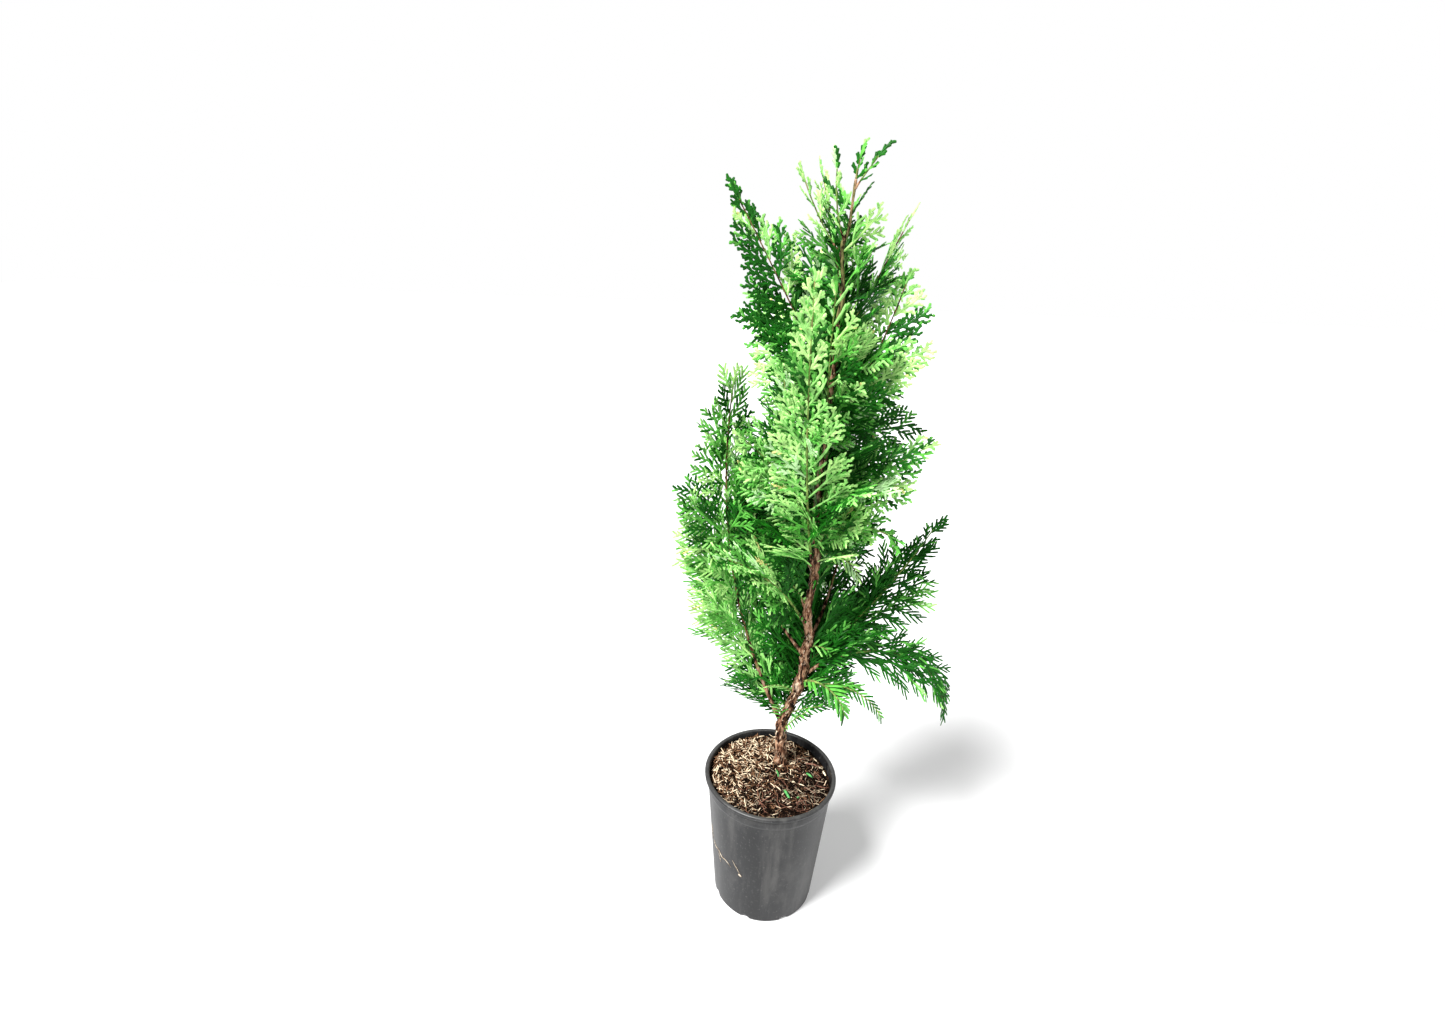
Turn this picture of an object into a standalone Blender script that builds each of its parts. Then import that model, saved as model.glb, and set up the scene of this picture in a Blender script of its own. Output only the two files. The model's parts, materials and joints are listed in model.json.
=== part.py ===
"""Young green arborvitae in a round nursery pot, for the shared parts library.

Metres, +Z up. The origin is the centre of the pot's underside. The photograph looks along +Y.
"""

import math
import random

import bmesh
import bpy
from mathutils import Vector
from mathutils.bvhtree import BVHTree

# Pot
POT_HEIGHT = 0.1285
RIM_RADIUS = 0.0570
RIM_DEPTH = 0.0036
RIM_ROUND = 0.0010
LIP_TUCK = 0.0003
WALL_TOP_RADIUS = 0.0546
WALL_THICKNESS = 0.0013
BAND_DEPTH = 0.0135
BAND_STEP = 0.0004
BASE_RADIUS = 0.0445
BASE_CORNER = 0.0018
FLOOR_THICKNESS = 0.0017
FLOOR_FILLET = 0.0050
POT_STEPS = 48
NOTCH_COUNT = 8
NOTCH_RADIUS = 0.0034
NOTCH_LENGTH = 0.0036
NOTCH_SIDES = 10

# Potting mix
SOIL_TOP = 0.1215
SOIL_EDGE_DROP = 0.0012
SOIL_EDGE_WIDTH = 0.0050
SOIL_STEPS = 32
GAP = 0.0003

# Trunk, heights above the potting mix
FOOT_X = 0.0101
FOOT_Y = 0.0177
TRUNK_SIDE_MM = (
    (0, 0.0), (2, 0.0), (8, -0.2), (22, -0.8), (41, -1.3), (62, 4.2), (79, 9.5), (98, 13.6),
    (114, 13.4), (129, 16.2), (143, 13.6), (160, 12.6), (180, 14.8), (202, 16.4), (224, 14.2),
    (250, 12.8), (272, 13.0), (301, 16.0), (333, 15.0), (360, 15.8), (389, 15.4), (403, 17.4),
    (433, 13.6), (446, 16.8), (464, 17.9), (476, 18.6),
)
TRUNK_RADIUS_MM = (
    (0, 6.1), (2, 5.9), (8, 5.1), (41, 4.4), (70, 3.9), (129, 3.4), (179, 3.0), (273, 2.2),
    (389, 1.5), (476, 0.8),
)
TRUNK_SWAY = 0.0030
TRUNK_SWAY_LENGTH = 0.420
TRUNK_BEVEL_STEPS = 3
MM = 0.001

# Limbs that the photograph shows: name, height on the trunk (mm), azimuth (degrees, 0 is to the
# right and 90 is away from the viewer), length (mm), rise at the root and at the tip (degrees),
# share that is bare, roll of the spray (degrees)
SEEN_LIMBS = (
    ("left_stem", 42, 178, 306, 63, 96, 0.20, -58),
    ("right_low_fan", 90, 5, 165, 53, -77, 0.26, 52),
    ("front_low_spray", 84, 322, 60, 56, -80, 0.14, 24),
    ("left_branch", 112, 156, 143, 38, 92, 0.22, -62),
    ("right_branch", 126, 62, 176, 34, 116, 0.30, 62),
    ("right_rising_fan", 104, 24, 160, 36, 50, 0.22, 44),
    ("left_front_fan", 136, 216, 128, 62, 27, 0.18, -34),
    ("centre_shoot", 186, 252, 248, 60, 82, 0.12, 12),
    ("front_right_fan", 214, 328, 68, 62, -20, 0.16, 36),
    ("right_mid_fan", 224, 354, 106, 60, 30, 0.16, 54),
    ("left_mid_fan", 226, 194, 100, 62, 39, 0.16, -56),
    ("left_high_fan", 336, 183, 145, 62, 58, 0.14, -64),
    ("right_high_fan", 300, 2, 121, 62, 75, 0.16, 64),
    ("front_left_mid", 246, 238, 132, 55, 60, 0.14, -22),
    ("front_high_fan", 300, 258, 117, 62, 76, 0.14, -14),
    ("top_right_twig", 470, 353, 24, 58, 54, 0.24, 58),
    ("top_left_twig", 428, 182, 55, 50, 66, 0.20, -60),
    ("top_centre_twig", 438, 236, 48, 46, 86, 0.20, -14),
)

# Limbs of the far side, set by rule
FAR_NAMES = (
    "far_low_right", "far_low_left", "far_low_middle", "far_mid_left", "far_mid", "far_mid_right",
    "far_upper_left", "far_upper", "far_high_right", "far_high_left",
)
FAR_LOW = 0.066
FAR_HIGH = 0.415
FAR_FIRST_AZIMUTH = 18.0
FAR_AZIMUTH_SPREAD = 144.0
FAR_TURN = 0.618
FAR_TURN_START = 0.10
FAR_RISE_ROOT = (46.0, 66.0)
FAR_RISE_TIP = (20.0, 66.0)
FAR_BARE_SHARE = 0.16
FAR_ROLL = 52.0
REACH_MM = ((0, 104), (90, 130), (180, 140), (280, 128), (380, 100), (440, 70))
CLEAR_LIMBS = 0.014
CLEAR_FROM_STEP = 3
AZIMUTH_TRIES = 12
AZIMUTH_STEP = 4.0

# Limb and twig form
LIMB_STEPS = 14
LIMB_SWING = 14.0
BOUGH_POINTS = 5
BOUGH_RADIUS_SHARE = 0.46
BOUGH_RADIUS_MIN = 0.00085
BOUGH_TIP_SHARE = 0.66
BOUGH_BEVEL_STEPS = 1
STEM_TIP_RADIUS = 0.00045
STEM_POINTS = 6

# Side sprays along the stem of a mass
TWIG_SPACING = 0.0104
TWIG_FIRST = 0.05
TWIG_LAST = 0.88
TWIG_LENGTH_SHARE = 0.60
TWIG_LENGTH_MIN = 0.016
TWIG_LENGTH_MAX = 0.080
TWIG_LENGTH_SPREAD = (0.86, 1.10)
TWIG_LENGTH_LEAST = 0.0128
SWELL_START = 0.62
WIDEST_SHARE = 0.22
TIP_LOSS = 0.72
TWIG_ANGLE_ROOT = 58.0
TWIG_ANGLE_TIP = 32.0
TWIG_BEND = 22.0
TWIG_SAG = 12.0
TWIG_LIFT = 26.0
TWIG_TILT = 24.0
TWIG_JITTER = 6.0
TWIG_SHORTER = (1.0, 0.82, 0.66, 0.50)
END_TWIG_SCALE = 1.1
END_TWIG_SHARE = 0.12
END_TWIG_TILT = 6.0
TWIG_STEPS = 4
TWIG_COUNT_MIN = 4
LEADER_LENGTH = 0.012
LEADER_AZIMUTH = 30.0
LEADER_ROLL = 20.0
LEADER_RISE = (84.0, 78.0)

# Toothed blade that stands for a side spray with its leaflets
BLADE_HALF_WIDTH = 0.0165
BLADE_WIDTH_SHARE = 0.27
BLADE_NOTCH = 0.30
NOTCH_PLACE = 0.65
BLADE_STATIONS = (0.16, 0.40, 0.64)
BLADE_TEETH = (1.0, 0.86, 0.52)
TOOTH_FORWARD = 0.17
BLADE_HALF_THICKNESS = 0.00042
BLADE_THICKNESS_SHARE = 0.0066
BLADE_ROOT = 0.00055
MIDRIB_FALL = 1.15
BLADE_REACH_SHARE = 0.60
STEM_REACH_SHARE = 0.75

# Own space of a mass: nearest its own stem, give or take a border that no two share
BORDER = 0.012
LIMB_MARGIN = 0.0011
BLADE_CLEARANCE = 0.0006
SAMPLE_SPACING = 0.004
WOOD_SPACING = 0.003
FACES_LEAST = 8
WEED_TRIES = 4
WEED_STEP = 2
STEM_SIDES = 3
SIDE_LEAST = 0.05
BLADE_SPOTS = ((0.12, 0.3), (0.25, 0.9), (0.42, 1.0), (0.60, 0.9), (0.80, 0.5), (1.0, 0.0))

GREENS = {
    "leaf_mid": (0.085, 0.255, 0.045),
    "leaf_bright": (0.190, 0.420, 0.070),
    "leaf_deep": (0.030, 0.135, 0.032),
    "leaf_grey": (0.095, 0.230, 0.105),
}
GREEN_OF = {
    "left_stem": "leaf_bright",
    "right_low_fan": "leaf_deep",
    "front_low_spray": "leaf_bright",
    "left_branch": "leaf_grey",
    "right_branch": "leaf_deep",
    "centre_shoot": "leaf_bright",
    "front_right_fan": "leaf_bright",
    "right_mid_fan": "leaf_bright",
    "left_high_fan": "leaf_deep",
    "top_right_twig": "leaf_deep",
    "leader": "leaf_deep",
    "top_left_twig": "leaf_bright",
    "top_centre_twig": "leaf_bright",
    "far_low_left": "leaf_deep",
    "right_rising_fan": "leaf_deep",
    "far_mid": "leaf_grey",
    "far_mid_right": "leaf_deep",
    "far_high_right": "leaf_bright",
}


def clear_scene():
    """Removes every object of the start file."""
    for thing in list(bpy.data.objects):
        bpy.data.objects.remove(thing, do_unlink=True)


def material(name, colour, roughness, metallic=0.0):
    """Makes a Principled material with one plain colour."""
    made = bpy.data.materials.new(name)
    made.use_nodes = True
    shader = made.node_tree.nodes["Principled BSDF"]
    shader.inputs["Base Color"].default_value = (*colour, 1.0)
    shader.inputs["Roughness"].default_value = roughness
    shader.inputs["Metallic"].default_value = metallic
    made.diffuse_color = (*colour, 1.0)
    return made


def collection(name):
    """Makes a collection in the scene."""
    made = bpy.data.collections.new(name)
    bpy.context.scene.collection.children.link(made)
    return made


def place(name, mesh, home, slot):
    """Puts a mesh in a collection as a named object with its material."""
    thing = bpy.data.objects.new(name, mesh)
    home.objects.link(thing)
    if slot is not None:
        mesh.materials.clear()
        mesh.materials.append(slot)
    return thing


def blend(first, last, share):
    """Value at a share of the way between two others."""
    return first + (last - first) * share


def steps_between(first, last, count):
    """Evenly spaced values from the first to the last."""
    return [blend(first, last, i / (count - 1)) for i in range(count)]


def table_value(table, at):
    """Reads a value between the rows of a table of pairs."""
    if at <= table[0][0]:
        return table[0][1]
    for (low, first), (high, second) in zip(table, table[1:]):
        if at <= high:
            return blend(first, second, (at - low) / (high - low))
    return table[-1][1]


def turned(name, profile, steps, home, slot):
    """Turns a profile of (radius, height) pairs about the Z axis."""
    mesh = bpy.data.meshes.new(name)
    points = [(radius, 0.0, height) for radius, height in profile]
    edges = [(i, i + 1) for i in range(len(points) - 1)]
    mesh.from_pydata(points, edges, [])
    thing = place(name, mesh, home, slot)
    screw = thing.modifiers.new("turn", "SCREW")
    screw.axis = "Z"
    screw.angle = math.tau
    screw.steps = steps
    screw.render_steps = steps
    screw.use_merge_vertices = True
    screw.merge_threshold = 0.00001
    return thing


def baked(thing):
    """Applies the modifiers of an object."""
    bpy.context.view_layer.update()
    graph = bpy.context.evaluated_depsgraph_get()
    mesh = bpy.data.meshes.new_from_object(thing.evaluated_get(graph))
    old = thing.data
    thing.modifiers.clear()
    thing.data = mesh
    if old.users == 0:
        bpy.data.meshes.remove(old)
    return thing


def rod(name, points, radii, bevel_steps, home, slot):
    """Makes a limb from a curve that has a radius at each point and filled ends."""
    curve = bpy.data.curves.new(name + "_line", "CURVE")
    curve.dimensions = "3D"
    curve.bevel_depth = 1.0
    curve.bevel_resolution = bevel_steps
    curve.use_fill_caps = True
    curve.twist_mode = "MINIMUM"
    spline = curve.splines.new("POLY")
    spline.points.add(len(points) - 1)
    for knot, point, radius in zip(spline.points, points, radii):
        knot.co = (*point, 1.0)
        knot.radius = radius
    line = bpy.data.objects.new(name + "_line", curve)
    home.objects.link(line)
    bpy.context.view_layer.update()
    graph = bpy.context.evaluated_depsgraph_get()
    mesh = bpy.data.meshes.new_from_object(line.evaluated_get(graph))
    bpy.data.objects.remove(line, do_unlink=True)
    form = bmesh.new()
    form.from_mesh(mesh)
    bmesh.ops.remove_doubles(form, verts=form.verts, dist=0.000001)
    bmesh.ops.recalc_face_normals(form, faces=form.faces)
    form.to_mesh(mesh)
    form.free()
    mesh.name = name
    return place(name, mesh, home, slot)


def make_pot(home, slot, cutters):
    """Turns the pot and scoops the drain notches into its bottom corner."""
    band = POT_HEIGHT - BAND_DEPTH
    fall = (WALL_TOP_RADIUS - BASE_RADIUS) / (POT_HEIGHT - BASE_CORNER)
    band_radius = WALL_TOP_RADIUS - fall * BAND_DEPTH
    inner_top = WALL_TOP_RADIUS - WALL_THICKNESS
    inner_base = BASE_RADIUS - WALL_THICKNESS
    lip = POT_HEIGHT - RIM_DEPTH
    profile = (
        (0.0, FLOOR_THICKNESS),
        (inner_base - FLOOR_FILLET, FLOOR_THICKNESS),
        (inner_base + fall * FLOOR_FILLET, FLOOR_THICKNESS + FLOOR_FILLET),
        (inner_top, POT_HEIGHT - RIM_ROUND),
        (inner_top + RIM_ROUND, POT_HEIGHT),
        (RIM_RADIUS - RIM_ROUND, POT_HEIGHT),
        (RIM_RADIUS, POT_HEIGHT - RIM_ROUND),
        (RIM_RADIUS - LIP_TUCK, lip),
        (WALL_TOP_RADIUS, lip),
        (band_radius + BAND_STEP, band),
        (band_radius, band - BAND_STEP),
        (BASE_RADIUS, BASE_CORNER),
        (BASE_RADIUS - BASE_CORNER, 0.0),
        (0.0, 0.0),
    )
    pot = turned("pot", profile, POT_STEPS, home, slot)
    for i in range(NOTCH_COUNT):
        turn = math.tau * (i + 0.5) / NOTCH_COUNT
        form = bmesh.new()
        bmesh.ops.create_cone(
            form,
            cap_ends=True,
            segments=NOTCH_SIDES,
            radius1=NOTCH_RADIUS,
            radius2=NOTCH_RADIUS,
            depth=NOTCH_LENGTH,
        )
        mesh = bpy.data.meshes.new(f"notch_cutter_{i}")
        form.to_mesh(mesh)
        form.free()
        cutter = place(f"notch_cutter_{i}", mesh, cutters, None)
        cutter.rotation_euler = (0.0, math.radians(90.0), turn)
        cutter.location = (BASE_RADIUS * math.cos(turn), BASE_RADIUS * math.sin(turn), 0.0)
        cutter.hide_render = True
        cutter.display_type = "WIRE"
    cut = pot.modifiers.new("drain_notches", "BOOLEAN")
    cut.operation = "DIFFERENCE"
    cut.operand_type = "COLLECTION"
    cut.collection = cutters
    cut.solver = "EXACT"
    return pot


def make_soil(home, slot):
    """Turns the plug of potting mix that fills the pot."""
    fall = (WALL_TOP_RADIUS - BASE_RADIUS) / (POT_HEIGHT - BASE_CORNER)
    floor = FLOOR_THICKNESS + GAP
    inner_base = BASE_RADIUS - WALL_THICKNESS - GAP
    inner_soil = WALL_TOP_RADIUS - WALL_THICKNESS - GAP - fall * (POT_HEIGHT - SOIL_TOP)
    profile = (
        (0.0, SOIL_TOP),
        (inner_soil - SOIL_EDGE_WIDTH, SOIL_TOP),
        (inner_soil - fall * SOIL_EDGE_DROP, SOIL_TOP - SOIL_EDGE_DROP),
        (inner_base + fall * FLOOR_FILLET, floor + FLOOR_FILLET),
        (inner_base - FLOOR_FILLET, floor),
        (0.0, floor),
    )
    return turned("potting_mix", profile, SOIL_STEPS, home, slot)


def trunk_point(height):
    """Centre of the trunk at a height above the potting mix."""
    side = table_value(TRUNK_SIDE_MM, height / MM) * MM
    away = TRUNK_SWAY * (1.0 - math.cos(math.tau * height / TRUNK_SWAY_LENGTH)) * 0.5
    return Vector((FOOT_X + side, FOOT_Y + away, SOIL_TOP + GAP + height))


def trunk_radius(height):
    """Radius of the trunk at a height above the potting mix."""
    return table_value(TRUNK_RADIUS_MM, height / MM) * MM


def trunk_line():
    """Points and radii of the trunk."""
    heights = [row[0] * MM for row in TRUNK_SIDE_MM]
    points = [trunk_point(height) for height in heights]
    points[1] = points[0] + Vector((0.0, 0.0, heights[1]))
    return points, [trunk_radius(height) for height in heights]


def limb_path(root, azimuth, length, rise_root, rise_tip):
    """Points of a limb whose rise and heading turn evenly along it."""
    points = [root.copy()]
    step = length / LIMB_STEPS
    for i in range(LIMB_STEPS):
        along = (i + 0.5) / LIMB_STEPS
        rise = math.radians(blend(rise_root, rise_tip, along))
        heading = math.radians(azimuth + LIMB_SWING * (along - 0.5))
        level = Vector((math.cos(heading), math.sin(heading), 0.0))
        ahead = level * math.cos(rise) + Vector((0.0, 0.0, math.sin(rise)))
        points.append(points[-1] + ahead * step)
    return points


def point_on(points, along):
    """Point and direction at a share of the way along a path of even steps."""
    place_on = min(max(along, 0.0), 1.0) * (len(points) - 1)
    index = min(int(place_on), len(points) - 2)
    ahead = points[index + 1] - points[index]
    return points[index] + ahead * (place_on - index), ahead.normalized()


def nearest(first, second):
    """Smallest distance between the points of two paths."""
    return min((a - b).length for a in first for b in second)


def plan_limbs():
    """Lists every limb, first those seen, then those set by rule on the far side."""
    limbs = []
    for name, height, azimuth, length, rise_root, rise_tip, bare, roll in SEEN_LIMBS:
        root = trunk_point(height * MM)
        path = limb_path(root, azimuth, length * MM, rise_root, rise_tip)
        limbs.append((name, height * MM, azimuth, path, bare, roll))
    for i, name in enumerate(FAR_NAMES):
        share = (i + 0.5) / len(FAR_NAMES)
        height = blend(FAR_LOW, FAR_HIGH, share)
        length = table_value(REACH_MM, height / MM) * MM
        rise_root = blend(*FAR_RISE_ROOT, share)
        rise_tip = blend(*FAR_RISE_TIP, share)
        first = FAR_FIRST_AZIMUTH + FAR_AZIMUTH_SPREAD * ((FAR_TURN_START + FAR_TURN * i) % 1.0)
        best = None
        for k in range(AZIMUTH_TRIES):
            azimuth = first + AZIMUTH_STEP * ((k + 1) // 2) * (1 if k % 2 else -1)
            path = limb_path(trunk_point(height), azimuth, length, rise_root, rise_tip)
            outer = path[CLEAR_FROM_STEP:]
            room = min(nearest(outer, other[3][CLEAR_FROM_STEP:]) for other in limbs)
            if best is None or room > best[0]:
                best = (room, azimuth, path)
            if room > CLEAR_LIMBS:
                break
        limbs.append((name, height, best[1], best[2], FAR_BARE_SHARE, FAR_ROLL if i % 2 else -FAR_ROLL))
    return limbs


def spray_axes(azimuth, along, ahead, roll):
    """Side and face directions of a spray at a share of its limb."""
    heading = math.radians(azimuth + LIMB_SWING * (along - 0.5))
    side = Vector((-math.sin(heading), math.cos(heading), 0.0))
    face = ahead.cross(side).normalized()
    turn = math.radians(roll)
    return side * math.cos(turn) + face * math.sin(turn), face * math.cos(turn) - side * math.sin(turn)


def twig_length(share, spray):
    """Length of a side twig at a share of the spray's stem."""
    swell = SWELL_START + (1.0 - SWELL_START) * min(share / WIDEST_SHARE, 1.0)
    taper = 1.0 - TIP_LOSS * max(share - WIDEST_SHARE, 0.0) / (1.0 - WIDEST_SHARE)
    return max(min(TWIG_LENGTH_SHARE * spray, TWIG_LENGTH_MAX) * swell * taper, TWIG_LENGTH_MIN)


def twig_line(base, ahead, side, face, hand, angle, length, tilt):
    """Points of a side spray that bends forward and sags, with its across direction."""
    points = [base]
    for i in range(TWIG_STEPS):
        share = (i + 0.5) / TWIG_STEPS
        turn = math.radians(angle - TWIG_BEND * share)
        way = ahead * math.cos(turn) + side * (hand * math.sin(turn))
        way = way - Vector((0.0, 0.0, math.tan(math.radians(TWIG_SAG)) * share))
        points.append(points[-1] + way.normalized() * (length / TWIG_STEPS))
    across = (points[-1] - points[0]).normalized().cross(face).normalized()
    lean = math.radians(tilt)
    return points, across * math.cos(lean) + face * math.sin(lean)


def twig_plan(name, azimuth, path, bare, roll):
    """Lists the side sprays of a mass by the seeded rule."""
    rule = random.Random(name)
    spray = (path[1] - path[0]).length * LIMB_STEPS * (1.0 - bare)
    count = max(int(spray * (TWIG_LAST - TWIG_FIRST) / TWIG_SPACING), TWIG_COUNT_MIN)
    plan = []
    for i in range(count):
        share = blend(TWIG_FIRST, TWIG_LAST, i / (count - 1))
        along = bare + (1.0 - bare) * share
        base, ahead = point_on(path, along)
        lift = TWIG_LIFT * rule.uniform(-1.0, 1.0)
        side, face = spray_axes(azimuth, along, ahead, roll + lift)
        hand = 1.0 if i % 2 else -1.0
        angle = blend(TWIG_ANGLE_ROOT, TWIG_ANGLE_TIP, share) + rule.uniform(-1.0, 1.0) * TWIG_JITTER
        length = twig_length(share, spray) * rule.uniform(*TWIG_LENGTH_SPREAD)
        tilt = TWIG_TILT * rule.uniform(-1.0, 1.0)
        plan.append((base, ahead, side, face, hand, angle, length, tilt))
    return plan


def end_twig(azimuth, path, bare, roll):
    """The spray that ends a mass, in line with its stem."""
    spray = (path[1] - path[0]).length * LIMB_STEPS * (1.0 - bare)
    base, ahead = point_on(path, 1.0 - (1.0 - bare) * END_TWIG_SHARE)
    side, face = spray_axes(azimuth, 1.0, ahead, roll)
    length = twig_length(1.0, spray) * END_TWIG_SCALE
    points = [base + ahead * (length * k / TWIG_STEPS) for k in range(TWIG_STEPS + 1)]
    lean = math.radians(END_TWIG_TILT)
    return points, side * math.cos(lean) + face * math.sin(lean)


def choices(plan, last, turn):
    """Lines to try for one turn of a mass, from the full length down."""
    if turn == 0:
        return [last]
    if turn > len(plan):
        return []
    base, ahead, side, face, hand, angle, length, tilt = plan[turn - 1]
    sizes = [length * shorter for shorter in TWIG_SHORTER if length * shorter > TWIG_LENGTH_LEAST]
    return [twig_line(base, ahead, side, face, hand, angle, size, tilt) for size in sizes]


def blade_form(points, across, grow=0.0):
    """Points and faces of a toothed blade along a side spray, thick at its root and midrib."""
    ahead = (points[1] - points[0]).normalized()
    length = sum((b - a).length for a, b in zip(points, points[1:]))
    half_width = min(BLADE_HALF_WIDTH, BLADE_WIDTH_SHARE * length) + grow
    thick = max(BLADE_HALF_THICKNESS, BLADE_THICKNESS_SHARE * length) + grow
    root = BLADE_ROOT + grow
    up = across.cross(ahead).normalized()
    verts = [points[0] - across * root, points[0] + up * root, points[0] + across * root]
    for station, tooth in zip(BLADE_STATIONS, BLADE_TEETH):
        centre, way = point_on(points, station)
        forward = way * (TOOTH_FORWARD * length)
        verts.append(centre + up * (thick * (MIDRIB_FALL - station)))
        verts.append(centre - up * (thick * (MIDRIB_FALL - station)))
        verts.append(centre + forward - across * (half_width * tooth))
        verts.append(centre + forward + across * (half_width * tooth))
    for low, high in zip(BLADE_STATIONS, BLADE_STATIONS[1:]):
        centre, way = point_on(points, low + NOTCH_PLACE * (high - low))
        verts.append(centre - across * (half_width * BLADE_NOTCH))
        verts.append(centre + across * (half_width * BLADE_NOTCH))
    verts.append(points[-1])
    faces = [(0, 1, 2), (0, 2, 4)]
    tip = len(verts) - 1
    for low, hand in ((0, 0), (2, 1)):
        teeth = (5 + hand, 9 + hand, 13 + hand)
        notches = (15 + hand, 17 + hand)
        faces.append((low, 3, 1))
        for first, second, third in ((3, 7, 11), (4, 8, 12)):
            faces.append((low, teeth[0], first))
            faces += [(teeth[0], notches[0], first), (notches[0], second, first)]
            faces += [(notches[0], teeth[1], second), (teeth[1], notches[1], second)]
            faces += [(notches[1], third, second), (notches[1], teeth[2], third)]
            faces += [(teeth[2], tip, third)]
    return verts, faces


def solid(name, verts, faces):
    """Makes a closed mesh with its faces pointing out."""
    mesh = bpy.data.meshes.new(name)
    mesh.from_pydata([tuple(v) for v in verts], [], faces)
    form = bmesh.new()
    form.from_mesh(mesh)
    bmesh.ops.recalc_face_normals(form, faces=form.faces)
    form.to_mesh(mesh)
    form.free()
    return mesh


def stem_form(points, radii, grow=0.0):
    """Points and faces of a three-sided tapering stem with closed ends."""
    verts = []
    side = (points[1] - points[0]).cross(Vector((0.0, 0.0, 1.0))).normalized()
    if side.length < SIDE_LEAST:
        side = Vector((1.0, 0.0, 0.0))
    for i, (point, radius) in enumerate(zip(points, radii)):
        before = points[max(i - 1, 0)]
        after = points[min(i + 1, len(points) - 1)]
        ahead = (after - before).normalized()
        side = (side - ahead * side.dot(ahead)).normalized()
        face = side.cross(ahead).normalized()
        for k in range(STEM_SIDES):
            turn = math.tau * k / STEM_SIDES
            out = side * math.cos(turn) + face * math.sin(turn)
            verts.append(point + out * (radius + grow))
    faces = [(2, 1, 0)]
    last = STEM_SIDES * (len(points) - 1)
    for i in range(len(points) - 1):
        for k in range(STEM_SIDES):
            low = STEM_SIDES * i + k
            near = STEM_SIDES * i + (k + 1) % STEM_SIDES
            faces.append((low, near, near + STEM_SIDES, low + STEM_SIDES))
    faces.append((last, last + 1, last + 2))
    return verts, faces


def samples(points, radii, spacing):
    """Close-set points with radii along a limb."""
    out = []
    for a, b, first, second in zip(points, points[1:], radii, radii[1:]):
        count = max(int((b - a).length / spacing), 1)
        for k in range(count):
            share = k / count
            out.append((a + (b - a) * share, first + (second - first) * share))
    out.append((points[-1], radii[-1]))
    return out


def blade_samples(points, across, length):
    """Points of a blade that must stay in the mass's own space."""
    half_width = min(BLADE_HALF_WIDTH, BLADE_WIDTH_SHARE * length)
    out = []
    for share, wide in BLADE_SPOTS:
        centre, _ = point_on(points, share)
        out.append(centre)
        for hand in (-1.0, -0.5, 0.5, 1.0):
            out.append(centre + across * (hand * wide * half_width))
    return out


def in_own_space(spots, own, others, wood):
    """True when a blade keeps to its mass's space and clear of every limb."""
    for spot in spots:
        for centre, radius in wood:
            if (spot - centre).length < radius + LIMB_MARGIN:
                return False
        mine = min((spot - point).length for point in own)
        for other in others:
            if (spot - other).length + BORDER < mine:
                return False
    return True


def clear_of(form, centre, reach, placed):
    """True when a blade's form crosses none of the forms placed before."""
    for other_centre, other_reach, tree in placed:
        if (centre - other_centre).length < reach + other_reach and form.overlap(tree):
            return False
    return True


def largest_shell(mesh):
    """Drops loose scraps and fills sealed hollows, leaving the outer shell."""
    form = bmesh.new()
    form.from_mesh(mesh)
    bmesh.ops.triangulate(form, faces=form.faces)
    left = set(form.faces)
    shells = []
    while left:
        seed = left.pop()
        shell = {seed}
        reached = [seed]
        while reached:
            face = reached.pop()
            for edge in face.edges:
                for near in edge.link_faces:
                    if near in left:
                        left.discard(near)
                        shell.add(near)
                        reached.append(near)
        shells.append(shell)
    shells.sort(key=len, reverse=True)
    drop = [face for shell in shells[1:] for face in shell]
    if drop:
        bmesh.ops.delete(form, geom=drop, context="FACES")
        loose = [vert for vert in form.verts if not vert.link_faces]
        bmesh.ops.delete(form, geom=loose, context="VERTS")
    form.to_mesh(mesh)
    form.free()


def closed(mesh):
    """True when every edge of a mesh joins exactly two faces."""
    form = bmesh.new()
    form.from_mesh(mesh)
    whole = all(edge.is_manifold for edge in form.edges) and len(form.faces) > FACES_LEAST
    form.free()
    return whole


def fused(name, stem, blades, home, slot):
    """Joins the blades of a spray to its stem with one union, and weeds until it is closed."""
    for weeding in range(WEED_TRIES):
        for solver in ("MANIFOLD", "EXACT"):
            work = collection(name + "_work")
            body = place(name, stem.copy(), home, slot)
            kept = blades[:len(blades) - WEED_STEP * weeding]
            for i, (points, across) in enumerate(kept):
                label = f"{name}_blade_{i}"
                place(label, solid(label, *blade_form(points, across)), work, None)
            union = body.modifiers.new("join", "BOOLEAN")
            union.operation = "UNION"
            union.operand_type = "COLLECTION"
            union.collection = work
            union.solver = solver
            baked(body)
            for thing in list(work.objects):
                bpy.data.objects.remove(thing, do_unlink=True)
            bpy.data.collections.remove(work)
            largest_shell(body.data)
            if closed(body.data):
                body.data.materials.clear()
                body.data.materials.append(slot)
                return body
            bpy.data.objects.remove(body, do_unlink=True)
    raise RuntimeError("no closed union for " + name)


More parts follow.
